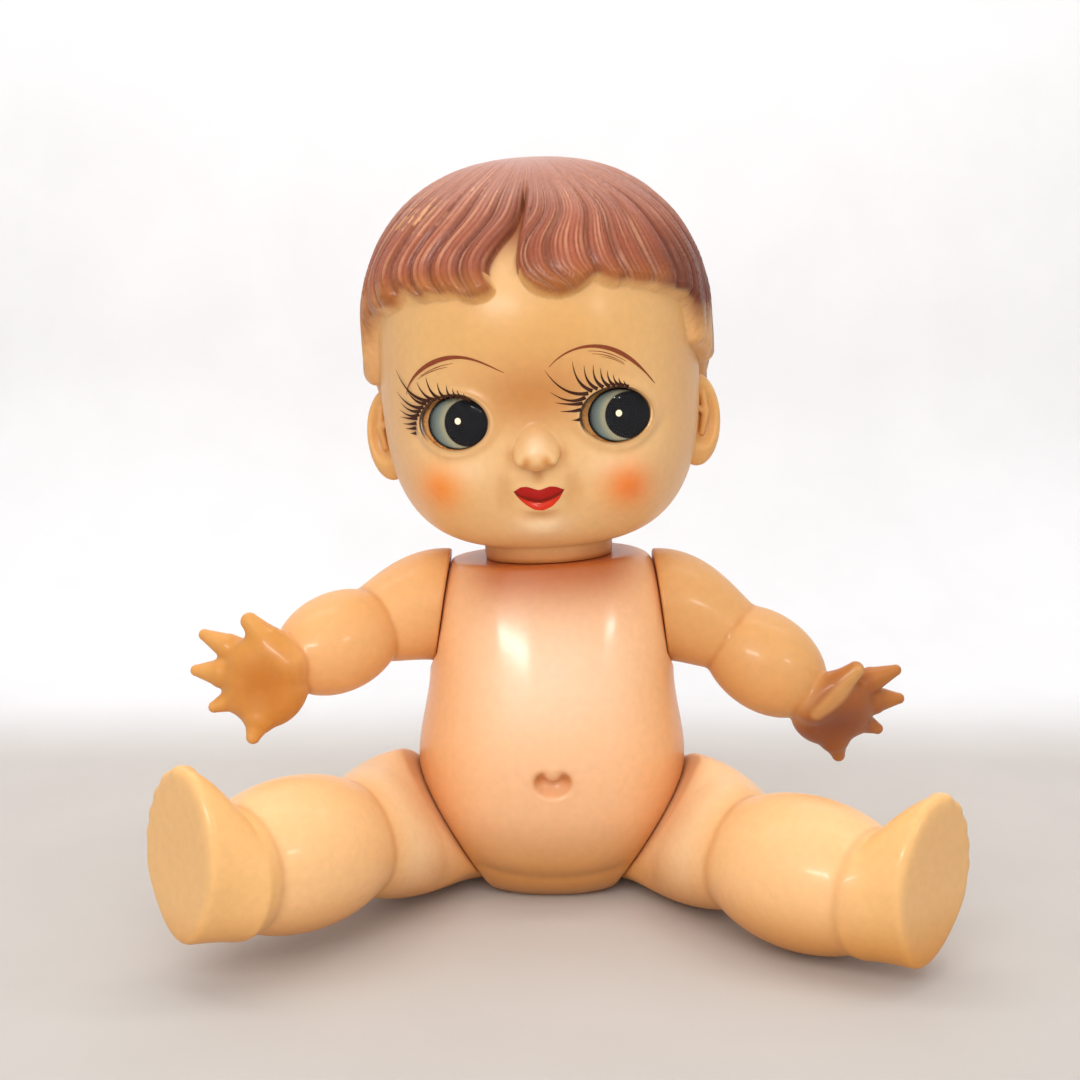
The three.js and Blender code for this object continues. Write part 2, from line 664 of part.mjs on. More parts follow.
function makeEar(side) {
  const turn = new THREE.Matrix4().makeRotationZ(side * EAR_TURN);
  const middle = new THREE.Vector3(side * EAR_REACH, 0, EAR_HEIGHT);
  const shell = ellipsoid(
    new THREE.Vector3(EAR_HALF_WIDTH, EAR_HALF_THICKNESS, EAR_HALF_HEIGHT),
    ORIGIN,
  );
  const hollow = ellipsoid(
    new THREE.Vector3(EAR_HALF_WIDTH * 0.68, EAR_HALF_THICKNESS * 0.8, EAR_HALF_HEIGHT * 0.7),
    new THREE.Vector3(0, -EAR_HALF_THICKNESS * 0.8, EAR_HALF_HEIGHT * 0.08),
  );
  const ridge = ellipsoid(
    new THREE.Vector3(EAR_HALF_WIDTH * 0.2, EAR_HALF_THICKNESS * 0.55, EAR_HALF_HEIGHT * 0.4),
    new THREE.Vector3(side * EAR_HALF_WIDTH * 0.2, -EAR_HALF_THICKNESS * 0.1, EAR_HALF_HEIGHT * 0.15),
  );
  const placed = [shell, hollow, ridge].map((geometry) => {
    geometry.applyMatrix4(turn);
    geometry.translate(middle.x, middle.y, middle.z);
    return solid(geometry);
  });
  return placed[0].subtract(placed[1]).add(placed[2]);
}

function makeLips() {
  const front = faceFront(0, MOUTH_HEIGHT);
  const half = MOUTH_HALF_WIDTH / 2;
  const lip = (x, z, halfWidth) =>
    solid(
      ellipsoid(
        new THREE.Vector3(halfWidth, LIP_PROJECTION, LIP_HALF_HEIGHT),
        new THREE.Vector3(x, front, z),
      ),
    );
  return [
    lip(-half, MOUTH_HEIGHT + LIP_HALF_HEIGHT * 0.8, half * 1.1),
    lip(half, MOUTH_HEIGHT + LIP_HALF_HEIGHT * 0.8, half * 1.1),
    lip(0, MOUTH_HEIGHT - LIP_HALF_HEIGHT, half * 1.5),
  ];
}

function makeNose() {
  const front = faceFront(0, NOSE_HEIGHT);
  const depth = NOSE_HALF_WIDTH;
  const middle = new THREE.Vector3(0, front - NOSE_PROJECTION + depth, NOSE_HEIGHT);
  const radii = new THREE.Vector3(NOSE_HALF_WIDTH, depth, NOSE_HALF_HEIGHT);
  const nostrils = [1, -1].map((side) => {
    const place = middle.clone();
    place.x = side * NOSE_HALF_WIDTH * 0.42;
    place.y = front - NOSE_PROJECTION * 0.55;
    place.z = NOSE_HEIGHT - NOSE_HALF_HEIGHT * 0.72;
    return solid(ellipsoid(NOSTRIL_RADII, place));
  });
  return cut(solid(ellipsoid(radii, middle)), nostrils);
}

// Sets a form made about the origin at an eye's place, turned to follow the face
function atEye(geometry, side) {
  geometry.rotateZ(side * EYE_TURN);
  geometry.translate(side * EYE_SPACING, -EYE_FRONT, EYE_HEIGHT);
  return solid(geometry);
}

function makeHead() {
  const neckTop = CHIN_HEIGHT + WALL * 2;
  const neck = bar(SEAT_GAP, neckTop, NECK_RADIUS, LIMB_SIDES);
  const stand = (geometry) => solid(geometry.rotateY(-Math.PI / 2));
  const outside = join([
    skinBall(0, SKIN_SIDES, SKIN_BANDS),
    hairForm(locks, HAIR_BANDS, 0, 0),
    stand(neck),
    stand(plug(NECK_PLUG_RADIUS, LIMB_SIDES)),
    makeEar(1),
    makeEar(-1),
    makeNose(),
    ...makeLips(),
  ]);
  const sockets = [1, -1].map((side) =>
    atEye(
      ovalBar(
        EYE_HALF_WIDTH + EYE_GAP + WALL,
        EYE_HALF_HEIGHT + EYE_GAP + WALL,
        ORIGIN,
        -EYE_INSET,
        EYE_BACK + EYE_GAP + WALL,
        CAVITY_SIDES,
      ),
      side,
    ),
  );
  const ridges = locks.filter(([, , ridge]) => ridge === 1);
  const hairHollow = hairForm(ridges, HAIR_BANDS / 2, WALL + LOCK_DEPTH, HAIR_EDGE_ROUNDING);
  const hollow = cut(skinBall(WALL, HOLLOW_SIDES, HOLLOW_BANDS).add(hairHollow), sockets);
  const pockets = [1, -1].map((side) =>
    atEye(
      ovalBar(
        EYE_HALF_WIDTH + EYE_GAP,
        EYE_HALF_HEIGHT + EYE_GAP,
        ORIGIN,
        -EYE_INSET * 2,
        EYE_BACK + EYE_GAP,
        LIMB_SIDES,
      ),
      side,
    ),
  );
  const bore = stand(plugBore(NECK_PLUG_RADIUS, neckTop + WALL * 2, CAVITY_SIDES));
  return cut(outside, [hollow, bore, ...pockets]);
}

// Eyes: a white back, a printed iris disc let into it and a clear dome over both
const glance = new THREE.Vector3(IRIS_GLANCE, 0, 0);

function makeEyeWhite(side) {
  const white = ovalBar(EYE_HALF_WIDTH, EYE_HALF_HEIGHT, ORIGIN, 0, EYE_BACK, LIMB_SIDES);
  const recess = ovalBar(
    IRIS_HALF_WIDTH + EYE_GAP,
    IRIS_HALF_HEIGHT + EYE_GAP,
    glance,
    -EYE_GAP,
    IRIS_THICKNESS + EYE_GAP,
    LIMB_SIDES,
  );
  return atEye(white, side).subtract(atEye(recess, side));
}

function makeIris(side) {
  return atEye(ovalBar(IRIS_HALF_WIDTH, IRIS_HALF_HEIGHT, glance, 0, IRIS_THICKNESS, LIMB_SIDES), side);
}

function makeLens(side) {
  const profile = [[0, 0], [0, 1], [EYE_RIM, 1]];
  for (let i = 1; i <= DOME_STEPS; i += 1) {
    const angle = (i / DOME_STEPS) * (Math.PI / 2);
    profile.push([EYE_RIM + EYE_DOME * Math.sin(angle), i === DOME_STEPS ? 0 : Math.cos(angle)]);
  }
  const geometry = turned(profile, LIMB_SIDES);
  geometry.rotateZ(-Math.PI / 2);
  geometry.scale(EYE_HALF_WIDTH, 1, EYE_HALF_HEIGHT);
  geometry.translate(0, -EYE_GAP, 0);
  return atEye(geometry, side);
}

// Arms: a tapered upper arm, a bulging forearm over it, a cushioned palm and five pointed digits
// Each digit runs from one place to another, measured from the palm's middle, thumb first.
const digits = [
  { from: [-13, -8, 12], to: [15, -2, 31], root: 9, tip: 5 },
  { from: [6, 2, 6], to: [37, 5, 19.5], root: 8, tip: 3.5 },
  { from: [6, 1, 1], to: [38.5, 1, 1], root: 8, tip: 3.5 },
  { from: [5, 0, -6], to: [29, -3, -18.5], root: 8, tip: 3.5 },
  { from: [0, 0, -10], to: [0, -1, -34], root: 10, tip: 4.5 },
];

// A tapered digit with a rounded root and a blunt point
function makeDigit({ from, to, root, tip }) {
  const start = new THREE.Vector3(...from);
  const reach = new THREE.Vector3(...to).sub(start);
  const length = reach.length();
  const shoulder = length - tip;
  const profile = [[-root, 0], [-root / 2, root * 0.8], [0, root], [shoulder, tip], [length, 0]];
  const geometry = turned(profile, SMALL_SIDES);
  geometry.applyQuaternion(new THREE.Quaternion().setFromUnitVectors(X_AXIS, reach.normalize()));
  start.add(ARM_HAND);
  geometry.translate(start.x, start.y, start.z);
  return geometry;
}

// A limb's spine: from inside the torso, out through the seat and on to its far end
function limbCurve(start, stub, end) {
  return new THREE.CubicBezierCurve3(start, stub, end.clone().multiplyScalar(0.55), end);
}

function armPieces() {
  const upper = limbCurve(
    X_AXIS.clone().multiplyScalar(-WALL),
    X_AXIS.clone().multiplyScalar(ARM_STUB),
    ARM_ELBOW.clone().multiplyScalar(1.25),
  );
  const upperRadius = (t) => THREE.MathUtils.lerp(ARM_ROOT_RADIUS, ELBOW_RADIUS * 0.8, t ** 1.6);
  const forearmAxis = ARM_WRIST.clone().sub(ARM_ELBOW).normalize();
  const forearmMiddle = ARM_WRIST.clone().add(ARM_ELBOW).multiplyScalar(0.5);
  const forearm = (inset) =>
    new THREE.Vector3(FOREARM_RADIUS, FOREARM_HALF_LENGTH, FOREARM_RADIUS).subScalar(inset);
  const palmRadii = new THREE.Vector3(PALM_HALF_LENGTH, PALM_HALF_THICKNESS, PALM_HALF_WIDTH);
  const outer = [
    sweep(upper, upperRadius, LIMB_STEPS, LIMB_SIDES),
    ellipsoid(forearm(0), forearmMiddle, forearmAxis, LIMB_SIDES),
    ellipsoid(palmRadii, ARM_HAND),
    ...digits.map(makeDigit),
  ];
  const inner = [
    sweep(upper, (t) => upperRadius(t) - WALL, CAVITY_STEPS, CAVITY_SIDES),
    ellipsoid(forearm(WALL), forearmMiddle, forearmAxis, CAVITY_SIDES),
    ellipsoid(palmRadii.clone().subScalar(WALL), ARM_HAND, Y_AXIS, SMALL_SIDES),
  ];
  return { outer, inner, plugRadius: ARM_PLUG_RADIUS };
}

// Legs: a thigh that bends forward from its seat, a bulging calf over it and a foot with a flat sole
function legDirection(splay, rise) {
  const level = new THREE.Vector3(Math.sin(splay), -Math.cos(splay), rise);
  return level.normalize().applyAxisAngle(Y_AXIS, -HIP_TILT);
}

// One leg's lines: which way its shin runs, and where its sole lies and which way up
function legLines(shinSplay, footLean) {
  const shinAxis = legDirection(shinSplay, -SHIN_DROP);
  const soleAxis = legDirection(SOLE_SPLAY, 0);
  const knee = legDirection(THIGH_SPLAY, THIGH_RISE).multiplyScalar(THIGH_LENGTH);
  const footUp = Z_AXIS.clone().applyAxisAngle(Y_AXIS, -HIP_TILT).applyAxisAngle(soleAxis, footLean);
  const footAcross = new THREE.Vector3().crossVectors(footUp, soleAxis);
  const alongShin = (distance) => knee.clone().addScaledVector(shinAxis, distance);
  const soleMiddle = alongShin(SOLE_PLACE).addScaledVector(footUp, FOOT_RISE);
  return { shinAxis, soleAxis, footUp, footAcross, alongShin, soleMiddle };
}

// A place on the sole's outline, pointed at toe and heel and wider at the ball, set back by some depth
function soleEdge({ soleMiddle, soleAxis, footUp, footAcross }, angle, depth, scale) {
  const sine = Math.sin(angle);
  const rise = Math.sign(sine) * Math.abs(sine) ** SOLE_POINT;
  const length = rise > 0 ? TOE_LENGTH : HEEL_LENGTH;
  const width = SOLE_HALF_WIDTH * (1 + SOLE_FLARE * rise);
  return soleMiddle
    .clone()
    .addScaledVector(soleAxis, -depth)
    .addScaledVector(footUp, length * rise * scale)
    .addScaledVector(footAcross, width * Math.cos(angle) * scale);
}

function soleRing(lines, depth, scale) {
  return Array.from({ length: LIMB_SIDES }, (_, i) => {
    return soleEdge(lines, (i / LIMB_SIDES) * Math.PI * 2, depth, scale);
  });
}

function ankleRing({ alongShin, footUp, footAcross }, distance, radius) {
  const middle = alongShin(distance);
  return Array.from({ length: LIMB_SIDES }, (_, i) => {
    const angle = (i / LIMB_SIDES) * Math.PI * 2;
    return middle
      .clone()
      .addScaledVector(footUp, radius * Math.sin(angle))
      .addScaledVector(footAcross, radius * Math.cos(angle));
  });
}

function makeToe(lines, angle) {
  const middle = soleEdge(lines, angle, TOE_RADIUS * 1.4, 0.92);
  const radii = new THREE.Vector3(TOE_RADIUS, TOE_RADIUS * 1.2, TOE_RADIUS);
  return ellipsoid(radii, middle, lines.soleAxis, SMALL_SIDES);
}

function legPieces(lines) {
  const { alongShin, shinAxis } = lines;
  const outward = legDirection(Math.PI / 2, 0);
  const thigh = limbCurve(
    outward.clone().multiplyScalar(-LEG_ROOT_RADIUS),
    outward.clone().multiplyScalar(THIGH_STUB),
    alongShin(KNEE_RADIUS * 0.4),
  );
  const swell = (t) => THIGH_SWELL * Math.sin(Math.PI * t ** 1.5) ** 2;
  const thighRadius = (t) => THREE.MathUtils.lerp(LEG_ROOT_RADIUS, KNEE_RADIUS * 0.85, t ** 4) + swell(t);
  const calfMiddle = alongShin(CALF_PLACE);
  const calf = (inset) => new THREE.Vector3(CALF_RADIUS, CALF_HALF_LENGTH, CALF_RADIUS).subScalar(inset);
  const foot = loft([
    ankleRing(lines, ANKLE_PLACE - ANKLE_RADIUS * 0.9, ANKLE_RADIUS * 0.5),
    ankleRing(lines, ANKLE_PLACE - ANKLE_RADIUS * 0.2, ANKLE_RADIUS),
    soleRing(lines, (SOLE_PLACE - ANKLE_PLACE) / 2, FOOT_BACK_SCALE),
    soleRing(lines, SOLE_EDGE, 1),
    soleRing(lines, SOLE_EDGE * 0.3, 0.97),
    soleRing(lines, 0, 0.9),
  ]);
  const outer = [
    sweep(thigh, thighRadius, LIMB_STEPS, LIMB_SIDES),
    ellipsoid(calf(0), calfMiddle, shinAxis, LIMB_SIDES),
    foot,
    ...TOE_ANGLES.map((angle) => makeToe(lines, angle)),
  ];
  const hollowScale = FOOT_BACK_SCALE - (2 * WALL) / SOLE_HALF_WIDTH;
  const inner = [
    sweep(thigh, (t) => thighRadius(t) - WALL, CAVITY_STEPS, CAVITY_SIDES),
    ellipsoid(calf(WALL), calfMiddle, shinAxis, CAVITY_SIDES),
    loft([
      ankleRing(lines, ANKLE_PLACE - ANKLE_RADIUS * 0.5, ANKLE_RADIUS * 0.6),
      soleRing(lines, (SOLE_PLACE - ANKLE_PLACE) / 2 + WALL, hollowScale),
      soleRing(lines, WALL, hollowScale),
    ]),
  ];
  return { outer, inner, plugRadius: LEG_PLUG_RADIUS };
}

// Joins a limb's forms, trims them at the seat and hollows them through the plug.
function makeLimb({ outer, inner, plugRadius }, side) {
  const sided = (geometry) => solid(side > 0 ? geometry : mirrored(geometry));
  const outward = new THREE.Vector3(-side, 0, 0);
  const seat = new THREE.Vector3(side * SEAT_GAP, 0, 0);
  const blockSize = (THIGH_LENGTH + SOLE_PLACE) * 2;
  const outside = join(outer.map(sided))
    .subtract(farSide(seat, outward, blockSize))
    .add(sided(plug(plugRadius, LIMB_SIDES)));
  const seatInside = new THREE.Vector3(side * (SEAT_GAP + WALL), 0, 0);
  const inside = join(inner.map(sided))
    .subtract(farSide(seatInside, outward, blockSize))
    .add(sided(plugBore(plugRadius, WALL * 3, CAVITY_SIDES)));
  return outside.subtract(inside);
}

function vinyl(colour, roughness = 0.42) {
  return new THREE.MeshStandardMaterial({ color: colour, roughness, metalness: 0 });
}

// Assembly
const doll = new THREE.Group();
doll.add(namedMesh("torso", makeTorso(), vinyl(0xf6cba0)));

const headGroup = new THREE.Group();
headGroup.position.copy(neckPoint);
headGroup.rotation.set(0, -HEAD_LEAN, HEAD_TURN);
headGroup.add(namedMesh("head", makeHead(), vinyl(0xecbb86)));
for (const side of [1, -1]) {
  const word = side > 0 ? "left" : "right";
  headGroup.add(namedMesh(`${word}_eye_white`, makeEyeWhite(side), vinyl(0xe9dcc8, 0.3)));
  headGroup.add(namedMesh(`${word}_iris`, makeIris(side), vinyl(0x4a463e, 0.3)));
  headGroup.add(namedMesh(`${word}_eye_lens`, makeLens(side), vinyl(0x2a2724, 0.08)));
}
doll.add(headGroup);

for (const side of [1, -1]) {
  const word = side > 0 ? "left" : "right";
  const shoulder = new THREE.Group();
  shoulder.position.copy(acrossBody(shoulderPoint, side));
  shoulder.rotation.y = -side * SHOULDER_TILT;
  const arm = namedMesh(`${word}_arm`, makeLimb(armPieces(), side), vinyl(0xedbd82));
  arm.rotation.x = side > 0 ? LEFT_ARM_DROP : 0;
  shoulder.add(arm);
  doll.add(shoulder);

  const hip = new THREE.Group();
  hip.position.copy(acrossBody(hipPoint, side));
  hip.rotation.y = side * HIP_TILT;
  const shinSplay = side > 0 ? LEFT_SHIN_SPLAY : RIGHT_SHIN_SPLAY;
  const footLean = side > 0 ? LEFT_FOOT_LEAN : RIGHT_FOOT_LEAN;
  const lines = legLines(shinSplay, footLean);
  const leg = namedMesh(`${word}_leg`, makeLimb(legPieces(lines), side), vinyl(0xf3c691));
  leg.rotation.x = side > 0 ? 0 : -RIGHT_LEG_LIFT;
  hip.add(leg);
  doll.add(hip);
}

export default doll;
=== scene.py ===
import math
import bpy
import numpy as np
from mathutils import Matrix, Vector


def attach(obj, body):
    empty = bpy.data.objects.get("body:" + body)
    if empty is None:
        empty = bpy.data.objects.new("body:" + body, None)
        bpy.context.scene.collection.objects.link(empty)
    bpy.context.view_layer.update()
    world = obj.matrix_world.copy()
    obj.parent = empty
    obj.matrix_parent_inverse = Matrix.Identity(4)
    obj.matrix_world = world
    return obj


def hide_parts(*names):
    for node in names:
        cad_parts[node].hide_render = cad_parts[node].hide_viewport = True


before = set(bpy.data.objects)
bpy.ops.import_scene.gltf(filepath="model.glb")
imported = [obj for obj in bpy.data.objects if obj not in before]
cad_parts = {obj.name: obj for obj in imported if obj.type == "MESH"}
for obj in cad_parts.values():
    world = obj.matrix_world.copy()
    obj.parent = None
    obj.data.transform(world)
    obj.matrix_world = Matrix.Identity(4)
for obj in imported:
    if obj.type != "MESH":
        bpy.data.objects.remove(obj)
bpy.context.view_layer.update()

# Sizes are in millimetres and follow the part's own values. Meshes are written in metres.
MM = 0.001
NECK = np.array([-1.5, 0.0, 176.5])
LEAN = math.radians(3)
TURN = math.radians(-2.4)
SHOULDER = np.array([57.5, 0.0, 149.5])
SHOULDER_TILT = math.radians(8)
LEFT_ARM_DROP = math.radians(36)
HIP = np.array([53.0, -3.0, 37.0])
HIP_TILT = math.radians(32)
RIGHT_LEG_LIFT = math.radians(6)
SEAT_GAP = 0.3
SIDES = {1: "left", -1: "right"}

rng = np.random.default_rng(7)


def rotation(axis, angle):
    c, s = math.cos(angle), math.sin(angle)
    if axis == "x":
        return np.array([[1, 0, 0], [0, c, -s], [0, s, c]])
    if axis == "y":
        return np.array([[c, 0, s], [0, 1, 0], [-s, 0, c]])
    return np.array([[c, -s, 0], [s, c, 0], [0, 0, 1]])


HEAD_FRAME = rotation("y", -LEAN) @ rotation("z", TURN)


def bell(x, spread):
    return np.exp(-(x / spread) ** 2)


def ramp(x, low, high):
    """A smooth step from 0 at low to 1 at high; low may be the larger one."""
    t = np.clip((x - low) / (high - low), 0, 1)
    return t * t * (3 - 2 * t)


def smooth_max(a, b, k):
    h = np.clip(0.5 + 0.5 * (a - b) / k, 0, 1)
    return b + (a - b) * h + k * h * (1 - h)


def smooth_min(a, b, k):
    return -smooth_max(-a, -b, k)


def mix(a, b, t):
    return a + (b - a) * np.asarray(t)[..., None]


def srgb(r, g, b):
    c = np.array([r, g, b]) / 255
    return np.where(c <= 0.04045, c / 12.92, ((c + 0.055) / 1.055) ** 2.4)


def ripple(p, scale, seed):
    """Soft deterministic noise from a few crossed waves, about -1 to 1."""
    local = np.random.default_rng(seed)
    total = np.zeros(len(p))
    for _ in range(6):
        direction = local.normal(size=3)
        direction *= local.uniform(0.6, 1.6) / (scale * np.linalg.norm(direction))
        total += np.sin(p @ direction * 6.28 + local.uniform(0, 6.28))
    return total / 3.2


# Materials

SCATTER_RADIUS = (1.0, 0.62, 0.36)
SCATTER_DEPTH = 0.005
BUMP_HEIGHT = 0.0004


def set_inputs(node, values):
    for name, value in values.items():
        node.inputs[name].default_value = value


def painted(name, roughness, subsurface=0.0, bump=0.0, coat=0.0,
            mottling=0.05, grain=240.0, shine=0.5, polish=0.1):
    """A surface whose colour is the mesh's own paint, broken up by fine mottling."""
    material = bpy.data.materials.new(name)
    material.use_nodes = True
    nodes, links = material.node_tree.nodes, material.node_tree.links
    shader = nodes["Principled BSDF"]
    paint = nodes.new("ShaderNodeAttribute")
    paint.attribute_name = "paint"
    place = nodes.new("ShaderNodeTexCoord")
    noise = nodes.new("ShaderNodeTexNoise")
    set_inputs(noise, {"Scale": grain, "Detail": 6.0})
    links.new(place.outputs["Object"], noise.inputs["Vector"])
    spread = nodes.new("ShaderNodeMapRange")
    set_inputs(spread, {"From Min": 0.3, "From Max": 0.7, "To Min": 1.0 - mottling, "To Max": 1.0 + mottling})
    links.new(noise.outputs["Fac"], spread.inputs["Value"])
    tint = nodes.new("ShaderNodeMix")
    tint.data_type = "RGBA"
    tint.blend_type = "MULTIPLY"
    tint.inputs[0].default_value = 1.0
    links.new(paint.outputs["Color"], tint.inputs[6])
    links.new(spread.outputs["Result"], tint.inputs[7])
    links.new(tint.outputs[2], shader.inputs["Base Color"])
    set_inputs(shader, {
        "Roughness": roughness, "Specular IOR Level": shine, "Coat Weight": coat, "Coat Roughness": polish,
        "Subsurface Weight": subsurface, "Subsurface Radius": SCATTER_RADIUS,
        "Subsurface Scale": SCATTER_DEPTH,
    })
    if bump:
        relief = nodes.new("ShaderNodeBump")
        set_inputs(relief, {"Strength": bump, "Distance": BUMP_HEIGHT})
        links.new(noise.outputs["Fac"], relief.inputs["Height"])
        links.new(relief.outputs["Normal"], shader.inputs["Normal"])
    return material


def clear_material(name):
    material = bpy.data.materials.new(name)
    material.use_nodes = True
    shader = material.node_tree.nodes["Principled BSDF"]
    tone = (1.0, 0.99, 0.97, 1.0)
    set_inputs(shader, {"Base Color": tone, "Transmission Weight": 1.0, "Roughness": 0.03, "IOR": 1.14})
    return material


VINYL = {"subsurface": 0.15, "mottling": 0.03}
vinyl_head = painted("head vinyl", 0.48, bump=0.04, coat=0.2, shine=0.35, polish=0.24, **VINYL)
vinyl_torso = painted("torso vinyl", 0.42, bump=0.03, coat=0.3, shine=0.3, polish=0.15, **VINYL)
vinyl_limb = painted("limb vinyl", 0.44, bump=0.04, coat=0.2, shine=0.3, polish=0.17, **VINYL)
hair_paint = painted("hair paint", 0.4, bump=0.08, coat=0.3, mottling=0.08, grain=420, shine=0.2, polish=0.28)
face_paint = painted("face paint", 0.55, mottling=0.12, grain=600, shine=0.12)
lip_paint = painted("lip paint", 0.4, mottling=0.06, coat=0.06, shine=0.2)
lens_clear = clear_material("clear dome")
eye_print = painted("printed disc", 0.5, mottling=0.04, grain=900, shine=0.0)


# Meshes

def add_mesh(name, points, faces, material, paint, second=None):
    """A mesh from points in millimetres, with one paint colour for all points or one for each.

    A second material, given with a mark for each point, takes the faces whose points are all marked.
    """
    mesh = bpy.data.meshes.new(name)
    points = np.asarray(points, float) * MM
    groups = [np.asarray(g, np.int32) for g in (faces if isinstance(faces, list) else [faces])]
    mesh.vertices.add(len(points))
    mesh.vertices.foreach_set("co", points.astype(np.float32).ravel())
    corners = np.concatenate([g.ravel() for g in groups])
    sides = np.concatenate([np.full(len(g), g.shape[1], np.int32) for g in groups])
    mesh.loops.add(len(corners))
    mesh.loops.foreach_set("vertex_index", corners)
    mesh.polygons.add(len(sides))
    mesh.polygons.foreach_set("loop_start", (np.cumsum(sides) - sides).astype(np.int32))
    mesh.polygons.foreach_set("loop_total", sides)
    mesh.update(calc_edges=True)
    mesh.validate()
    colour = np.ones((len(points), 4), np.float32)
    colour[:, :3] = np.clip(paint, 0, 1)
    layer = mesh.color_attributes.new("paint", "FLOAT_COLOR", "POINT")
    layer.data.foreach_set("color", colour.ravel())
    mesh.polygons.foreach_set("use_smooth", np.ones(len(sides), bool))
    mesh.materials.append(material)
    if second is not None:
        other, marked = second
        mesh.materials.append(other)
        taken = np.concatenate([marked[g].all(1) for g in groups])
        mesh.polygons.foreach_set("material_index", taken.astype(np.int32))
    piece = bpy.data.objects.new(name, mesh)
    bpy.context.scene.collection.objects.link(piece)
    return piece


def grid_faces(rows, columns, wrap=False):
    """Quads of a grid of points stored row by row."""
    r = np.arange(rows - 1)[:, None]
    c = np.arange(columns if wrap else columns - 1)[None, :]
    n = (c + 1) % columns
    a, b = r * columns + c, r * columns + n
    return np.stack([a, b, b + columns, a + columns], -1).reshape(-1, 4)


def facing(faces, side):
    """Faces for a shape that is mirrored on the doll's right."""
    return faces if side > 0 else faces[:, ::-1]


def surface_net(field, low, high, cell):
    """The zero surface of a field, as quads, pulled onto the surface along the field's slope."""
    low, high = np.asarray(low, float), np.asarray(high, float)
    count = np.ceil((high - low) / cell).astype(int) + 1
    axes = [low[i] + cell * np.arange(count[i]) for i in range(3)]
    values = np.empty(count, np.float32)
    y, z = np.meshgrid(axes[1], axes[2], indexing="ij")
    for i, x in enumerate(axes[0]):
        plane = np.stack([np.full(y.size, x), y.ravel(), z.ravel()], 1)
        values[i] = field(plane).reshape(y.shape)
    inside = values < 0
    corners = [(i, j, k) for i in (0, 1) for j in (0, 1) for k in (0, 1)]
    total = np.zeros(count - 1, np.int8)
    for c in corners:
        total += inside[tuple(slice(c[i], count[i] - 1 + c[i]) for i in range(3))]
    active = (total > 0) & (total < 8)
    cells = np.argwhere(active)
    number = np.full(active.shape, -1, np.int64)
    number[active] = np.arange(len(cells))
    summed = np.zeros((len(cells), 3))
    hits = np.zeros(len(cells))
    for a in corners:
        for axis in range(3):
            if a[axis]:
                continue
            b = list(a)
            b[axis] = 1
            va = values[tuple((cells + a).T)]
            vb = values[tuple((cells + b).T)]
            crossing = (va < 0) != (vb < 0)
            t = np.where(crossing, va / np.where(crossing, va - vb, 1), 0)
            spot = np.repeat(np.array(a, float)[None], len(cells), 0)
            spot[:, axis] += t
            summed += spot * crossing[:, None]
            hits += crossing
    points = low + cell * (cells + summed / hits[:, None])
    for _ in range(3):
        step = cell * 0.2
        here = field(points)
        change = [field(points + step * e) - field(points - step * e) for e in np.eye(3)]
        slope = np.stack(change, 1) / (2 * step)
        steep = np.maximum((slope ** 2).sum(1), 0.05)
        move = -(here / steep)[:, None] * slope
        length = np.linalg.norm(move, axis=1, keepdims=True)
        points += move * np.minimum(1, 0.6 * cell / np.maximum(length, 1e-9))
    quads = []
    for axis in range(3):
        u, v = (axis + 1) % 3, (axis + 2) % 3
        first = [slice(None)] * 3
        second = [slice(None)] * 3
        first[axis] = slice(0, count[axis] - 1)
        second[axis] = slice(1, count[axis])
        for w in (u, v):
            first[w] = second[w] = slice(1, count[w] - 1)
        a, b = inside[tuple(first)], inside[tuple(second)]
        for sign in (True, False):
            edge = np.argwhere((a != b) & (a == sign))
            if not len(edge):
                continue
            edge[:, u] += 1
            edge[:, v] += 1
            ring = []
            for du, dv in ((-1, -1), (0, -1), (0, 0), (-1, 0)):
                spot = edge.copy()
                spot[:, u] += du
                spot[:, v] += dv
                ring.append(number[tuple(spot.T)])
            ring = np.stack(ring, 1)
            quads.append(ring if sign else ring[:, ::-1])
    return points, np.concatenate(quads)


# Distance fields

def ellipsoid_field(p, centre, radii, axes=None):
    q = p - centre
    if axes is not None:
        q = q @ axes
    k0 = np.linalg.norm(q / radii, axis=1)
    k1 = np.linalg.norm(q / (radii * radii), axis=1)
    return k0 * (k0 - 1) / np.maximum(k1, 1e-6)


def chain_field(p, spine, radii):
    """A bar along a polyline whose radius changes from point to point."""
    best = np.full(len(p), 1e6)
    for a, b, ra, rb in zip(spine[:-1], spine[1:], radii[:-1], radii[1:]):
        along = b - a
        t = np.clip((p - a) @ along / (along @ along), 0, 1)
        distance = np.linalg.norm(p - a - t[:, None] * along, axis=1) - (ra + (rb - ra) * t)
        best = np.minimum(best, distance)
    return best


def unit(v):
    v = np.asarray(v, float)
    return v / np.linalg.norm(v)


def frame_along(direction):
    """Columns: two directions across, with the given one in the middle."""
    d = unit(direction)
    side = unit(np.cross(d, [0.0, 0.0, 1.0] if abs(d[2]) < 0.9 else [1.0, 0.0, 0.0]))
    return np.stack([side, d, np.cross(side, d)], 1)


def bezier(points, count):
    t = np.linspace(0, 1, count)[:, None]
    a, b, c, d = (np.asarray(q, float) for q in points)
    return (1 - t) ** 3 * a + 3 * (1 - t) ** 2 * t * b + 3 * (1 - t) * t * t * c + t ** 3 * d


# Head

HALF_WIDTH, HALF_DEPTH, MIDDLE, SKULL_TOP, CHIN = 83.5, 84.0, 110.0, 202.0, 7.0
PLAN, JAW, DOME = 2.2, 3.2, 2.35
HAIR_SIDE, HAIR_TOP = 9.0, 5.5
NECK_RADIUS = 34.0
EYE_X, EYE_Z = 39.5, 77.0
EYE_WIDE, EYE_HIGH = 16.9, 13.4
EYE_FRONT = 68.5
EYE_TURN = math.radians(20)
SOCKET_DEPTH = 3.0
NOSE_TIP = 61.5
NOSE_HEIGHT = 10.4

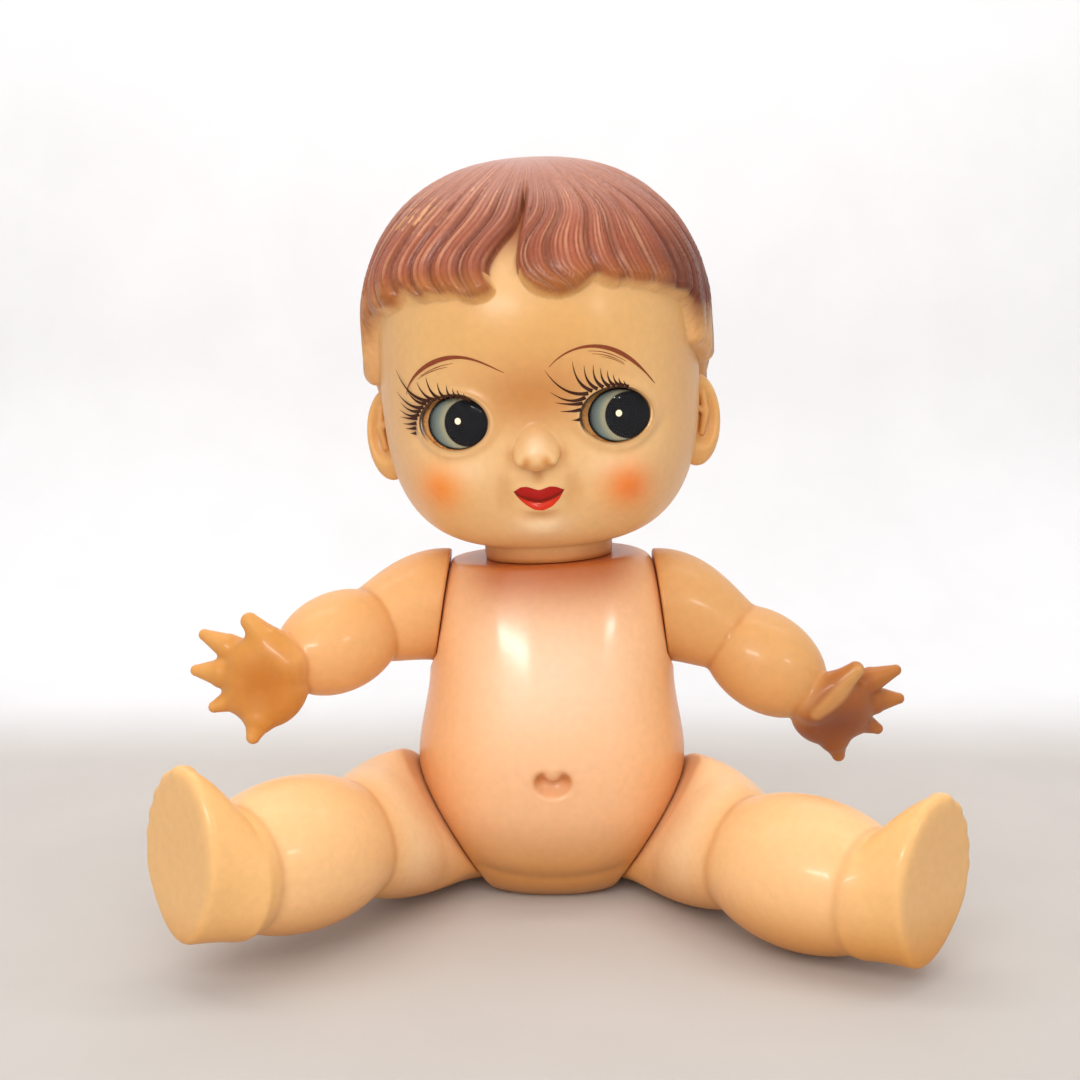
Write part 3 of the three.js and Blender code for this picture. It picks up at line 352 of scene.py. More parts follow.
# Soft forms of the face: height, place out from the middle and its spread, place up and its spread
BROAD_FORMS = [
    (3.0, 44, 15, 49, 15),
    (3.5, 0, 11.5, 25, 8),
    (-3.5, 0, 63, 77, 21),
]
# Nose wings, nostrils, groove under the nose, mouth corners and fold over the chin
FINE_FORMS = [
    (2.0, 8.8, 2.8, 60, 3.4),
    (-1.5, 5.4, 2.0, 57.4, 1.9),
    (-1.1, 0, 2.1, 49.5, 3.2),
    (-2.4, 17.0, 4.2, 41, 9),
    (-1.2, 0, 9, 29.8, 2.8),
]


def ball(d, side=0.0, top=0.0):
    """Distance from the head's middle to a rounded box that stands for the skull, or for the hair's cap."""
    above = d[:, 2] > 0
    height = np.where(above, SKULL_TOP - MIDDLE + top, MIDDLE - CHIN)
    square = np.where(above, DOME, JAW)
    plan = np.abs(d[:, 0] / (HALF_WIDTH + side)) ** PLAN + np.abs(d[:, 1] / (HALF_DEPTH + side)) ** PLAN
    return (plan ** (square / PLAN) + np.abs(d[:, 2] / height) ** square) ** (-1 / square)


def patch(x, z, out, wide, up, tall):
    """A soft spot on the face, or a pair of them at the same distance from the middle line."""
    return bell(np.abs(x) - out, wide) * bell(z - up, tall)


def mouth_line(x):
    """Height of the line between the lips."""
    return 37.6 + 3.8 * np.clip(np.abs(x) / 11, 0, 1.2) ** 2


def eye_reach(x, z, side):
    """Distance from an eye's middle, 1 at the edge of its opening."""
    return np.sqrt(((x - side * EYE_X) / EYE_WIDE) ** 2 + ((z - EYE_Z) / EYE_HIGH) ** 2)


def skin_radius(d):
    """The bare face's distance from the head's middle in each direction, with its soft features."""
    r = ball(d)
    p = d * r[:, None]
    x, z = p[:, 0], p[:, 2] + MIDDLE
    front = np.clip(-2 * p[:, 1] / HALF_DEPTH, 0, 1)
    soft = sum(height * patch(x, z, *place) for height, *place in BROAD_FORMS + FINE_FORMS)
    rise = np.where(z > NOSE_TIP, (z - NOSE_TIP) / 14, (NOSE_TIP - z) / 8.4)
    half = 8.8 + 3.2 * ramp(-z, -74, -60)
    nose = np.maximum(1 - (x / half) ** 2 - rise ** 2, 0) ** (0.6 + 0.9 * ramp(z, 64, 75))
    soft += smooth_max(NOSE_HEIGHT * nose - 0.6, 0, 1.6) - 0.156
    soft += 2.3 * bell(x, 10.5) * bell(z - 40.8 - 1.2 * bell(np.abs(x) - 6, 3.5), 3.6)
    soft += 2.5 * bell(x - 0.3, 7.5) * bell(z - 35.2, 2.6)
    soft -= 1.0 * bell(z - mouth_line(x), 0.8) * bell(x, 9.5)
    for side in (-1, 1):
        across = eye_reach(x, z, side)
        soft += 1.1 * bell((across - 1.12) * 15, 2.4)
        soft -= 0.7 * bell((across - 1.42) * 15, 3.0) * ramp(EYE_Z - z, -4, 8)
    return r + front * soft


def neck_radius(d):
    """The short neck below the jaw, as seen along rays from the head's middle."""
    flat = np.linalg.norm(d[:, :2], axis=1)
    down = np.maximum(-d[:, 2], 1e-6)
    floor = (MIDDLE - SEAT_GAP) / down
    wall = NECK_RADIUS / np.maximum(flat, 1e-6)
    return np.where(d[:, 2] < 0, smooth_min(floor, wall, 3.0), 0)


def face_depth(x, z):
    """Depth of the bare face at places on its front, in the head's frame."""
    y = np.full(x.shape, -80.0)
    for _ in range(12):
        d = np.stack([x, y, z - MIDDLE], 1)
        d /= np.linalg.norm(d, axis=1, keepdims=True)
        y = 0.5 * y + 0.5 * (d * skin_radius(d)[:, None])[:, 1]
    return y


def on_face(x, z, lift):
    """Points on the face, lifted off it along its normal."""
    h = 0.4
    y = face_depth(x, z)
    dx = (face_depth(x + h, z) - face_depth(x - h, z)) / (2 * h)
    dz = (face_depth(x, z + h) - face_depth(x, z - h)) / (2 * h)
    normal = np.stack([dx, -np.ones_like(dx), dz], 1)
    normal /= np.linalg.norm(normal, axis=1, keepdims=True)
    return np.stack([x, y, z], 1) + normal * lift


# Edge of the hair, as degrees round the head from the front and heights above the neck seat
HAIR_EDGE = [
    (-180, 44), (-140, 44), (-117, 46), (-108, 54), (-104, 68), (-102, 86), (-97, 96), (-90, 99), (-84, 96),
    (-79, 93), (-76, 96), (-73, 106), (-72, 118), (-70, 127), (-63, 132), (-55, 133.7), (-51, 134.7),
    (-46.7, 138), (-43.6, 144), (-40.5, 140), (-36.4, 137.4), (-32, 139.4), (-27.6, 138.4), (-24.4, 140),
    (-20, 136.4), (-16.7, 136), (-13, 137.6), (-10.5, 141.5), (-11.2, 144), (-12.7, 147.5), (-13.4, 152),
    (-12.4, 157), (-10.2, 162), (-7.4, 166.6), (-5.2, 170), (-3.8, 173.5), (-2.4, 178), (-1, 184), (0, 189),
    (-0.2, 184), (-0.8, 178), (-1.9, 171.7), (-3.2, 161.4), (-3.3, 152.3), (-2, 145.2), (2.2, 138.9),
    (9.2, 136.4), (13, 137.4), (16.5, 139.2), (19.5, 142.3), (22.2, 145.4), (24, 143), (25.7, 141.6),
    (29, 140.4), (31.5, 142), (34, 140.8), (38, 139.3), (41.4, 139.8), (45, 137.4), (49, 137.4), (53, 135),
    (57, 134), (60.5, 131), (62, 121), (63, 111), (66, 107), (71, 105), (77, 100), (81, 97), (86, 98),
    (91, 99), (97, 96), (102, 86), (104, 68), (108, 54), (117, 46), (140, 44), (180, 44),
]
HAIR_RADIUS = 90
ARC = HAIR_RADIUS * math.pi / 180


def rounded(points, passes):
    """An open line with its corners cut."""
    for _ in range(passes):
        a, b = points[:-1], points[1:]
        cut = np.stack([0.75 * a + 0.25 * b, 0.25 * a + 0.75 * b], 1).reshape(-1, 2)
        points = np.concatenate([points[:1], cut, points[-1:]])
    return points


def edge_distance(around, z):
    """Distance into the hair from its edge, negative on bare skin."""
    edge = rounded(np.array(HAIR_EDGE, float), 2) * [ARC, 1]
    p = np.stack([around * ARC, z], 1)
    best = np.full(len(p), 1e9)
    below = np.zeros(len(p), bool)
    for a, b in zip(edge[:-1], edge[1:]):
        along = b - a
        t = np.clip((p - a) @ along / max(along @ along, 1e-9), 0, 1)
        best = np.minimum(best, ((p - a - t[:, None] * along) ** 2).sum(1))
        spans = (a[0] <= p[:, 0]) != (b[0] <= p[:, 0])
        if abs(along[0]) > 1e-9:
            height = a[1] + (p[:, 0] - a[0]) / along[0] * along[1]
            below ^= spans & (p[:, 1] < height)
    return np.sqrt(best) * np.where(below, -1, 1)


def guide(heights, degrees):
    """A strand as dense heights and degrees round the head, with its kinks smoothed away."""
    z = np.arange(80, 220, 0.5)
    value = np.interp(z, heights, degrees)
    window = np.ones(15) / 15
    for _ in range(2):
        value = np.convolve(np.pad(value, 7, mode="edge"), window, "valid")
    return z, value


# Four strands that the others follow, and how many degrees of hair lie between a near one and a far one
STRAND_NEAR_LEFT = guide([138, 141.7, 146.6, 153.6, 159.3, 165.8, 168.9, 175.3, 192, 199],
                         [-9, -10.6, -12.6, -13.5, -12, -8.6, -6.4, -2.6, 0, 1])
STRAND_FAR_LEFT = guide([100, 130, 139.4, 144.4, 153.8, 163.9, 186.2, 199],
                        [-34, -34.5, -36.5, -41.5, -43.7, -40.5, -31, -24])
STRAND_NEAR_RIGHT = guide([138, 141.2, 143.8, 149.8, 156.7, 163.4, 168.9, 175.7, 187, 199],
                          [10, 7.3, 3.1, -0.4, -1.4, -0.1, 3.3, 7.5, 8.3, 6])
STRAND_FAR_RIGHT = guide([100, 137.4, 146.9, 161.3, 179.5, 195.2, 199], [52, 56.5, 58, 55.3, 49, 38, 34])
LEFT_SPAN, RIGHT_SPAN = 27, 56


def strand_place(around, z):
    """Which strand a place on the hair lies on, counted in degrees from the parting."""
    near_left, far_left = np.interp(z, *STRAND_NEAR_LEFT), np.interp(z, *STRAND_FAR_LEFT)
    near_right, far_right = np.interp(z, *STRAND_NEAR_RIGHT), np.interp(z, *STRAND_FAR_RIGHT)
    left = LEFT_SPAN * (around - near_left) / (near_left - far_left)
    left = np.where(around > far_left, left, around - far_left - LEFT_SPAN)
    right = RIGHT_SPAN * (around - near_right) / (far_right - near_right)
    right = np.where(around < far_right, right, around - far_right + RIGHT_SPAN)
    return np.where(around < 0.5 * (near_left + near_right), left, right)


def banded(place, edges, heights, sharpness, skew=None):
    """Rounded ridges between the edges, with sharp valleys."""
    i = np.clip(np.searchsorted(edges, place) - 1, 0, len(edges) - 2)
    t = np.clip((place - edges[i]) / (edges[i + 1] - edges[i]), 0, 1)
    if skew is not None:
        t = t ** skew[i]
    return heights[i] * np.maximum(1 - (2 * t - 1) ** 2, 0) ** sharpness


def random_edges(low, high, narrow, wide):
    edges = [low]
    while edges[-1] < high:
        edges.append(edges[-1] + rng.uniform(narrow, wide))
    return np.array(edges)


# Edges of locks, strands and fine hairs, in degrees from the parting; the fringe's locks are listed one by
# one
FRINGE_LOCKS = [-17, -8, 0, 7, 20.5, 29, 40, 51]
LEFT_LOCKS = -random_edges(24, 260, 5, 13)[::-1]
RIGHT_LOCKS = random_edges(60, 260, 5, 13)
LOCKS = np.concatenate([LEFT_LOCKS, FRINGE_LOCKS, RIGHT_LOCKS])
LOCK_HEIGHTS = rng.uniform(0.7, 1.0, len(LOCKS))
LOCK_SKEW = rng.uniform(0.7, 1.5, len(LOCKS))
LEFT_STRANDS = -random_edges(1.2, 262, 1.1, 2.3)[::-1]
RIGHT_STRANDS = random_edges(1.2, 262, 1.1, 2.3)
STRANDS = np.concatenate([LEFT_STRANDS, [0.0], RIGHT_STRANDS])
STRAND_HEIGHTS = rng.uniform(0.35, 1.0, len(STRANDS)) ** 1.3
FINE = random_edges(-262, 262, 0.35, 0.7)
FINE_HEIGHTS = rng.uniform(0.2, 1.0, len(FINE)) ** 1.5

SKIN = srgb(238, 191, 131)
SKIN_HIGHLIGHT = srgb(252, 218, 178)
FOREHEAD = srgb(222, 164, 86)
UNDER_JAW_SHADE = srgb(208, 116, 40)
NOSTRIL_SHADE = srgb(206, 126, 40)
# Painted shade: the deeper tone laid into the face's hollows, towards its sides and into the eye sockets
PAINTED_SHADE = srgb(200, 128, 58)
HAIR_BROWN = srgb(166, 84, 58)
HAIR_CROWN_HIGHLIGHT = srgb(174, 118, 102)
HAIR_DARK = srgb(96, 38, 26)
HAIR_TIP = srgb(166, 88, 14)
HAIR_LIT = srgb(226, 160, 124)
HAIR_WORN = srgb(236, 176, 124)
SIDEBURN = srgb(196, 128, 64)
PARTING_SHADE = srgb(146, 72, 34)
# Tone of each cheek's blush and its place across and up the face
BLUSH = [(srgb(255, 146, 44), -49.6, 45), (srgb(252, 132, 44), 43.5, 42.3)]
BLUSH_SPREAD = 11.5

# Tone, share and place of soft patches of paint, and the depth that they stay in front of; the deep patches
# are painted shade between the eyes, beside the nose and under it
BROAD_TINTS = [
    (FOREHEAD, 0.8, (0, 66, 120, 24), -40),
    (PAINTED_SHADE, 0.9, (0, 36, 89, 20), -40),
    (PAINTED_SHADE, 0.5, (13, 2.4, 60, 5), -40),
    (PAINTED_SHADE, 0.45, (0, 8, 54.5, 2.4), -40),
]
# Painted shade in small hollows: the nostrils, beside the mouth, the groove under the nose and the fold over
# the chin; columns as above
FINE_TINTS = [
    (NOSTRIL_SHADE, 0.75, (4.7, 2.4, 57.6, 2.2), -60),
    (PAINTED_SHADE, 0.35, (17, 4.5, 40, 10), -50),
    (PAINTED_SHADE, 0.6, (0, 2.5, 50, 4), -60),
    (PAINTED_SHADE, 0.5, (0, 10, 30, 3), -60),
]


def skin_paint(points):
    """The bare head's colour: painted shade in hollows, under the jaw and towards the sides, painted
    highlights on the chin, nose and cheeks, with blush on the cheeks.
    """
    x, y, z = points.T
    paint = SKIN
    for tone, share, place, limit in BROAD_TINTS:
        paint = mix(paint, tone, share * patch(x, z, *place) * (y < limit))
    # Painted shade towards the sides of the face
    paint = mix(paint, PAINTED_SHADE, 0.35 * ramp(np.abs(x), 52, 84) * ramp(-np.abs(z - 78), -70, -20))
    # Painted shade under the jaw
    paint = mix(paint, UNDER_JAW_SHADE, 0.8 * ramp(-z, -16, 2))
    # Painted highlights on the chin, the tip of the nose and the cheeks
    pale = patch(x, z, 0, 15, 24, 8) + 0.8 * patch(x, z, 0, 5, 65, 5) + 0.5 * patch(x, z, 36, 14, 53, 6)
    paint = mix(paint, SKIN_HIGHLIGHT, 0.7 * np.minimum(pale, 1) * (y < -40))
    for tone, across, up in BLUSH:
        paint = mix(paint, tone, 0.9 * bell(np.hypot(x - across, z - up), BLUSH_SPREAD) * (y < -30))
    for tone, share, place, limit in FINE_TINTS:
        paint = mix(paint, tone, share * patch(x, z, *place) * (y < limit))
    return paint


class Hair:
    """The moulded hair along each direction from the head's middle: its edge, its pattern and its colour."""

    def __init__(self, d, tilt, around):
        self.d, self.around = d, around
        self.cap = ball(d, HAIR_SIDE, HAIR_TOP)
        self.z = d[:, 2] * self.cap + MIDDLE
        self.inside = edge_distance(around, self.z)
        place = strand_place(around, self.z)
        self.fade = ramp(np.sin(np.clip(tilt, 0, math.pi / 2)), 0.2, 0.75)
        self.wander = place + 0.5 * ripple(d, 1.1, 21)
        self.locks = banded(self.wander, LOCKS, LOCK_HEIGHTS, 0.5, LOCK_SKEW)
        self.strands = banded(self.wander, STRANDS, STRAND_HEIGHTS, 0.7)
        self.groove = (1 - banded(self.wander, STRANDS, np.ones(len(STRANDS)), 0.7)) ** 2
        flow = np.stack([place / 9, self.z / 26, 0 * self.z], 1)
        self.lively = 0.55 + 0.45 * ripple(flow, 1.0, 23)

    def radius(self, bare):
        """Distance from the head's middle to the hair, or to the bare skin outside it."""
        fine = banded(self.wander, FINE, FINE_HEIGHTS, 0.8)
        depth = 1.2 + 2.2 * ramp(self.z, 196, 156)
        relief = depth * (self.locks - 0.8) + 0.95 * self.lively * (self.strands - 0.4)
        relief += 0.22 * (fine - 0.4) - 0.5 * self.groove
        relief *= self.fade * (1 - ramp(np.abs(self.around), 150, 178))
        skull = ball(self.d)
        low = ramp(self.z, 118, 140)
        rise = np.clip(self.inside / (7.5 - 2.5 * low), 0, 1)
        shoulder = np.sqrt(np.maximum(1 - (1 - rise) ** 2, 0))
        height = np.maximum(self.cap - skull, 0) * (0.9 + 0.1 * low) * shoulder
        height += relief * ramp(self.inside, 0.3, 3) * (0.6 + 0.4 * low)
        return np.where(self.inside > 0, np.maximum(skull + height, bare + 0.2 * shoulder), bare)

    def sprayed(self, wave):
        """Share of the brown paint, which ends in a soft edge near the fringe's tips."""
        tips = 0.8 + 0.2 * ramp(self.z + 3 * wave + 3 * self.locks, 136, 151)
        rim = ramp(self.inside + 0.5 * wave, -0.4, 2.2)
        rim = np.where(self.z > 150, ramp(self.inside, -1.6, 0.4), rim)
        front = rim * tips * ramp(self.z + 2 * wave, 110, 132)
        right = ramp(self.around, 30, 50) * ramp(self.inside, 0.2, 2.5) * ramp(self.z, 118, 132)
        back = ramp(np.abs(self.around), 76, 88) * ramp(self.inside, 1, 7) * ramp(self.z, 60, 118)
        return np.maximum(np.maximum(front, right), back)

    def brown(self):
        """The paint's tone: a painted highlight at the crown, painted shade in valleys and grooves, darker at
        the right, orange at the tips, with a painted highlight along the strands' ridges.
        """
        # Painted highlight towards the crown
        tone = mix(HAIR_BROWN, HAIR_CROWN_HIGHLIGHT, 0.9 * ramp(self.z, 158, 200))
        # Painted shade in the valleys between the locks
        valley = np.clip(1.05 - self.locks - 0.15 * self.strands, 0, 1)
        tone = mix(tone, HAIR_DARK, 0.9 * valley * self.fade * ramp(self.z, 200, 176))
        dark = ramp(self.around, 33, 56) * ramp(self.z, 180, 148)
        tone = mix(tone, HAIR_DARK, 0.85 * dark)
        tone = mix(tone, HAIR_TIP, 0.88 * ramp(self.z, 155, 141) * (1 - dark) * (1 - 0.5 * valley))
        # Painted highlight along the strands' ridges, partly also paint rubbed pale there
        lit = ramp(self.strands, 0.3, 0.8) * (0.3 + 0.7 * ramp(self.lively, 0.3, 0.9))
        lit = lit * (1 - 0.6 * dark) * (1 - 0.65 * ramp(self.z, 157, 142))
        tone = mix(tone, HAIR_LIT, 0.5 * lit * self.fade)
        # Painted shade in the grooves between the strands
        return mix(tone, HAIR_DARK, (0.2 + 0.5 * ramp(self.lively, 0.1, 0.9)) * self.groove * self.fade)

    def paint(self, points, skin):
        """The head's colour with the hair painted over the skin."""
        inside, around, z = self.inside, self.around, self.z
        sideburn = (inside > 0) * ramp(np.abs(around), 58, 66) * ramp(z, 90, 120)
        paint = mix(skin, SIDEBURN, 0.5 * sideburn * (0.5 + 0.5 * self.groove))
        paint = mix(paint, self.brown(), 0.97 * self.sprayed(ripple(points, 22, 3)))
        notch = (inside <= 0) & (np.abs(around) < 24)
        beside = np.exp(-np.maximum(-inside, 0) / 2.6) * ramp(z, 143, 158)
        shaded = np.maximum(ramp(z, 150, 176), 0.75 * beside)
        paint = mix(paint, PARTING_SHADE, 0.92 * shaded * notch)
        streak = ripple(np.stack([1.3 * self.wander, z / 4, 0 * z], 1), 4.0, 11)
        streak += 0.5 * ripple(points, 4, 12) + 0.4 * self.strands
        worn = ramp(streak, 0.75, 1.15) * bell(around + 46, 13) * bell(z - 176, 13) * (inside > 2)
        worn = np.maximum(worn, ramp(streak, 0.95, 1.2) * bell(around + 20, 8) * bell(z - 190, 6))
        return mix(paint, HAIR_WORN, 0.8 * worn)


def even_steps(density, low, high, count):
    """Steps packed more tightly where the density is higher."""
    x = np.linspace(low, high, 4000)
    total = np.concatenate([[0], np.cumsum(density(0.5 * (x[1:] + x[:-1])))])
    return np.interp(np.linspace(0, total[-1], count), total, x)


def cut_sockets(points):
    """Press the eye openings straight in from the face."""
    for side in (-1, 1):
        turned = rotation("z", side * EYE_TURN)
        middle = [side * EYE_X, -EYE_FRONT, EYE_Z]
        hole = (eye_reach(points[:, 0], points[:, 2], side) < 1.06) & (points[:, 1] < -40)
        local = (points[hole] - middle) @ turned
        local[:, 1] = np.maximum(local[:, 1], SOCKET_DEPTH)
        points[hole] = local @ turned.T + middle


def make_head():
    """Points, faces and paint of the head, and which points are hair."""
    columns, rows = 640, 310
    turn = even_steps(lambda a: 0.45 + 1.0 * bell(a, 75), -180, 180, columns + 1)[:-1]
    tilt = even_steps(lambda t: 0.75 + 0.5 * bell(t - 125, 32) + 0.45 * bell(t - 68, 16), 0.35, 179.65, rows)
    tilt, turn = (np.radians(v).ravel() for v in np.meshgrid(tilt, turn, indexing="ij"))
    d = np.stack([np.sin(tilt) * np.sin(turn), -np.sin(tilt) * np.cos(turn), np.cos(tilt)], 1)
    hair = Hair(d, tilt, np.degrees(turn))
    r = smooth_max(hair.radius(skin_radius(d)), neck_radius(d), 2.5)
    points = d * r[:, None] + [0, 0, MIDDLE]
    cut_sockets(points)
    paint = hair.paint(points, skin_paint(points))
    faces = grid_faces(rows, columns, wrap=True)
    top, bottom = len(points), len(points) + 1
    ends = np.array([points[:columns].mean(0), points[-columns:].mean(0)])
    points = np.concatenate([points, ends])
    paint = np.concatenate([paint, paint[:1], paint[-2:-1]])
    ring = np.arange(columns)
    following = (ring + 1) % columns
    last = (rows - 1) * columns
    top_fan = np.stack([np.full(columns, top), ring, following], 1)
    bottom_fan = np.stack([np.full(columns, bottom), last + following, last + ring], 1)
    haired = np.concatenate([hair.inside > 0.4, [True, False]])
    return points, [faces[:, ::-1], top_fan, bottom_fan], paint, haired


def head_world(points):
    return points @ HEAD_FRAME.T + NECK


points, faces, paint, haired = make_head()
head = add_mesh("head_skin", head_world(points), faces, vinyl_head, paint, (hair_paint, haired))
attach(head, "head")
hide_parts("head")

# Ears

EAR_PLACE = (81.0, 0, 68.5)
EAR_TURN = math.radians(28)
EAR_TONE = srgb(234, 178, 108)
EAR_BOWL_SHADE = srgb(190, 116, 46)
EAR_RIDGE = np.array([[3.5, -2.0, 14.0], [4.4, -2.6, 4.0], [2.0, -2.2, -7.0]])
EAR_FORK = np.array([[-3.0, -2.0, 9.0], [4.2, -2.4, 3.0]])


def ear_field(p):
    shell = ellipsoid_field(p, np.array([0.0, 0, 0]), np.array([14.5, 7.0, 24.5]))
    bowl = ellipsoid_field(p, np.array([0.6, -6.4, 2.0]), np.array([9.8, 6.4, 17.0]))
    ridge = chain_field(p, EAR_RIDGE, np.array([1.6, 2.2, 1.6]))
    fork = chain_field(p, EAR_FORK, np.array([1.2, 1.9]))
    return smooth_min(smooth_max(shell, -bowl, 2.0), np.minimum(ridge, fork), 1.6)


ear_points, ear_faces = surface_net(ear_field, (-17, -10, -27), (17, 10, 27), 0.8)
x, y, z = ear_points.T
# Painted shade in the ear's bowl
hollow = bell(y + 1.5, 3) * bell(x - 0.5, 8) * bell(z - 1, 14)
ear_paint = mix(EAR_TONE, EAR_BOWL_SHADE, 0.7 * hollow)
for side in (1, -1):
    turned = ear_points * [side, 1, 1] @ rotation("z", side * EAR_TURN).T
    placed = head_world(turned + EAR_PLACE * np.array([side, 1, 1]))
    ear = add_mesh("ear_" + SIDES[side], placed, facing(ear_faces, side), vinyl_head, ear_paint)
    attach(ear, "head")

# Eyes

# The eye white's cream tone, darkened as painted shade of the socket it sits in
EYE_WHITE_SHADED = srgb(164, 116, 68)
CRACKLE_TONE = srgb(120, 74, 38)
IRIS_SHIFT, IRIS_WIDE, IRIS_HIGH = 1.2, 16.2, 13.4
# Iris from the pupil outwards, then its rim, the pupil and the glint
IRIS_INNER = srgb(132, 126, 102)
IRIS_MIDDLE = srgb(94, 102, 96)
IRIS_OUTER = srgb(44, 46, 48)
IRIS_RIM = srgb(16, 16, 17)
PUPIL = srgb(24, 24, 26)
GLINT = srgb(240, 220, 180)


def disc(wide, high, depth, rings, sides, dome=0.0, rim=0.0, shift=(0.0, 0.0)):
    """An oval disc about the origin, facing -Y and domed towards the front."""
    angle = np.linspace(0, 2 * math.pi, sides, endpoint=False)
    share = np.linspace(0, 1, rings)
    x = shift[0] + wide * share[:, None] * np.cos(angle)[None]
    z = shift[1] + high * share[:, None] * np.sin(angle)[None]
    y = np.repeat((depth - rim - dome * np.sqrt(np.maximum(1 - share ** 2, 0)))[:, None], sides, 1)
    return np.stack([x, y, z], -1).reshape(-1, 3), grid_faces(rings, sides, wrap=True)


def eye_piece(name, side, shape, material, colour, node):
    """One layer of an eye, set at its place and turned to follow the face."""
    points, faces = shape
    placed = points @ rotation("z", side * EYE_TURN).T + [side * EYE_X, -EYE_FRONT, EYE_Z]
    piece = add_mesh(name, head_world(placed), faces, material, colour)
    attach(piece, "head")
    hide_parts(node)
    return piece


def white_paint(p):
    crackle = ramp(np.abs(ripple(p, 3.0, 31)), 0.25, 0.0)
    return mix(EYE_WHITE_SHADED, CRACKLE_TONE, 0.7 * crackle)


def iris_paint(p):
    """A dark ringed iris, a pupil to one side and a pale glint."""
    x, z = p[:, 0], p[:, 2]
    reach = np.hypot((x - IRIS_SHIFT) / IRIS_WIDE, (z + 0.2) / IRIS_HIGH)
    to_pupil = np.hypot((x - 6.2) / 1.06, z + 0.4)
    colour = mix(IRIS_INNER, IRIS_MIDDLE, ramp(to_pupil, 12.2, 15.6))
    colour = mix(colour, IRIS_OUTER, ramp(to_pupil, 14.6, 20.0))
    colour = mix(colour, IRIS_RIM, ramp(reach, 0.88, 0.97))
    colour = mix(colour, PUPIL, ramp(-to_pupil, -11.85, -11.4))
    return mix(colour, GLINT, ramp(-np.hypot(x - 1.2, z - 0.7), -1.75, -1.45))


white_shape = disc(19.0, 14.8, 0.6, 60, 120)
iris_shape = disc(IRIS_WIDE, IRIS_HIGH, 0.0, 90, 160, shift=(IRIS_SHIFT, -0.2))
dome_shape = disc(18.6, 14.4, -0.3, 24, 96, dome=3.4, rim=0.2)
white_colours = white_paint(white_shape[0])
iris_colours = iris_paint(iris_shape[0])
for side in (-1, 1):
    word = SIDES[side]
    eye = word + "_eye_white"
    eye_piece(eye + "_print", side, white_shape, eye_print, white_colours, eye)
    iris = word + "_iris"
    eye_piece(iris + "_print", side, iris_shape, eye_print, iris_colours, iris)
    dome = word + "_dome"
    lens = eye_piece(dome, side, dome_shape, lens_clear, np.ones(3), word + "_eye_lens")
    lens.visible_shadow = False

# Painted strokes

BROW = srgb(140, 68, 40)
LASH = srgb(66, 34, 22)
LINER = srgb(24, 18, 16)
STROKE_STEP = 0.7


def stroke(points, widths, lift=0.14, across=3):
    """A tapered ribbon on the face through (x, z) points, with half-widths along it."""
    points = np.asarray(points, float)
    k = np.linspace(0, 1, len(points))
    fine = np.linspace(0, 1, 60)
    power = min(4, len(points) - 1)
    curve = np.stack([np.polyval(np.polyfit(k, points[:, i], power), fine) for i in range(2)], 1)
    s = np.concatenate([[0], np.cumsum(np.hypot(*np.diff(curve, axis=0).T))])
    t = np.linspace(0, s[-1], max(8, int(s[-1] / STROKE_STEP)))
    path = np.stack([np.interp(t, s, curve[:, i]) for i in range(2)], 1)
    direction = np.gradient(path, axis=0)
    direction /= np.linalg.norm(direction, axis=1, keepdims=True)
    normal = np.stack([-direction[:, 1], direction[:, 0]], 1)
    half = np.interp(np.linspace(0, 1, len(path)), np.linspace(0, 1, len(widths)), widths)
    offsets = np.linspace(-1, 1, across)
    flat = path[:, None] + normal[:, None] * (half[:, None] * offsets[None])[..., None]
    flat = flat.reshape(-1, 2)
    return on_face(flat[:, 0], flat[:, 1], lift), grid_faces(len(path), across)


def add_paint(name, parts, material, colour, shade=None):
    """Strokes as one piece on the head."""
    starts = np.cumsum([0] + [len(p) for p, _ in parts])
    points = np.concatenate([p for p, _ in parts])
    faces = np.concatenate([f + start for (_, f), start in zip(parts, starts)])
    tint = colour if shade is None else shade(points, colour)
    piece = add_mesh(name, head_world(points), faces, material, tint)
    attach(piece, "head")


BROW_LEFT = [
    (-63.7, 91.6), (-60.4, 97.8), (-55.3, 103.3), (-47.9, 107.2), (-40.7, 108.6),
    (-33.8, 108.4), (-27.1, 107.0), (-20.5, 104.4), (-13.3, 100.3),
]
BROW_RIGHT = [
    (8.1, 101.9), (13.5, 106.5), (20.2, 109.7), (27.9, 110.9), (34.4, 110.1),
    (42.0, 107.0), (48.4, 102.8), (53.8, 97.0), (58.6, 91.0),
]
brows = [
    stroke(BROW_LEFT, [0.12, 0.4, 0.9, 1.15, 1.05, 0.75, 0.5, 0.35, 0.12]),
    stroke(BROW_RIGHT, [0.12, 0.35, 0.5, 0.75, 1.0, 1.1, 0.85, 0.4, 0.12]),
    stroke([(-55, 100.5), (-47, 104.2), (-38, 106)], [0.1, 0.22, 0.08]),
    stroke([(-57, 99), (-49, 102.6), (-41, 104.3)], [0.08, 0.2, 0.08]),
    stroke([(27, 108.6), (36, 107.2), (45, 102.6)], [0.08, 0.22, 0.1]),
    stroke([(29, 107.2), (37, 105.6), (44, 101.8)], [0.08, 0.2, 0.08]),
    stroke([(33, 105.6), (39, 104), (44, 101)], [0.06, 0.16, 0.06]),
]
add_paint("brows", brows, face_paint, BROW)

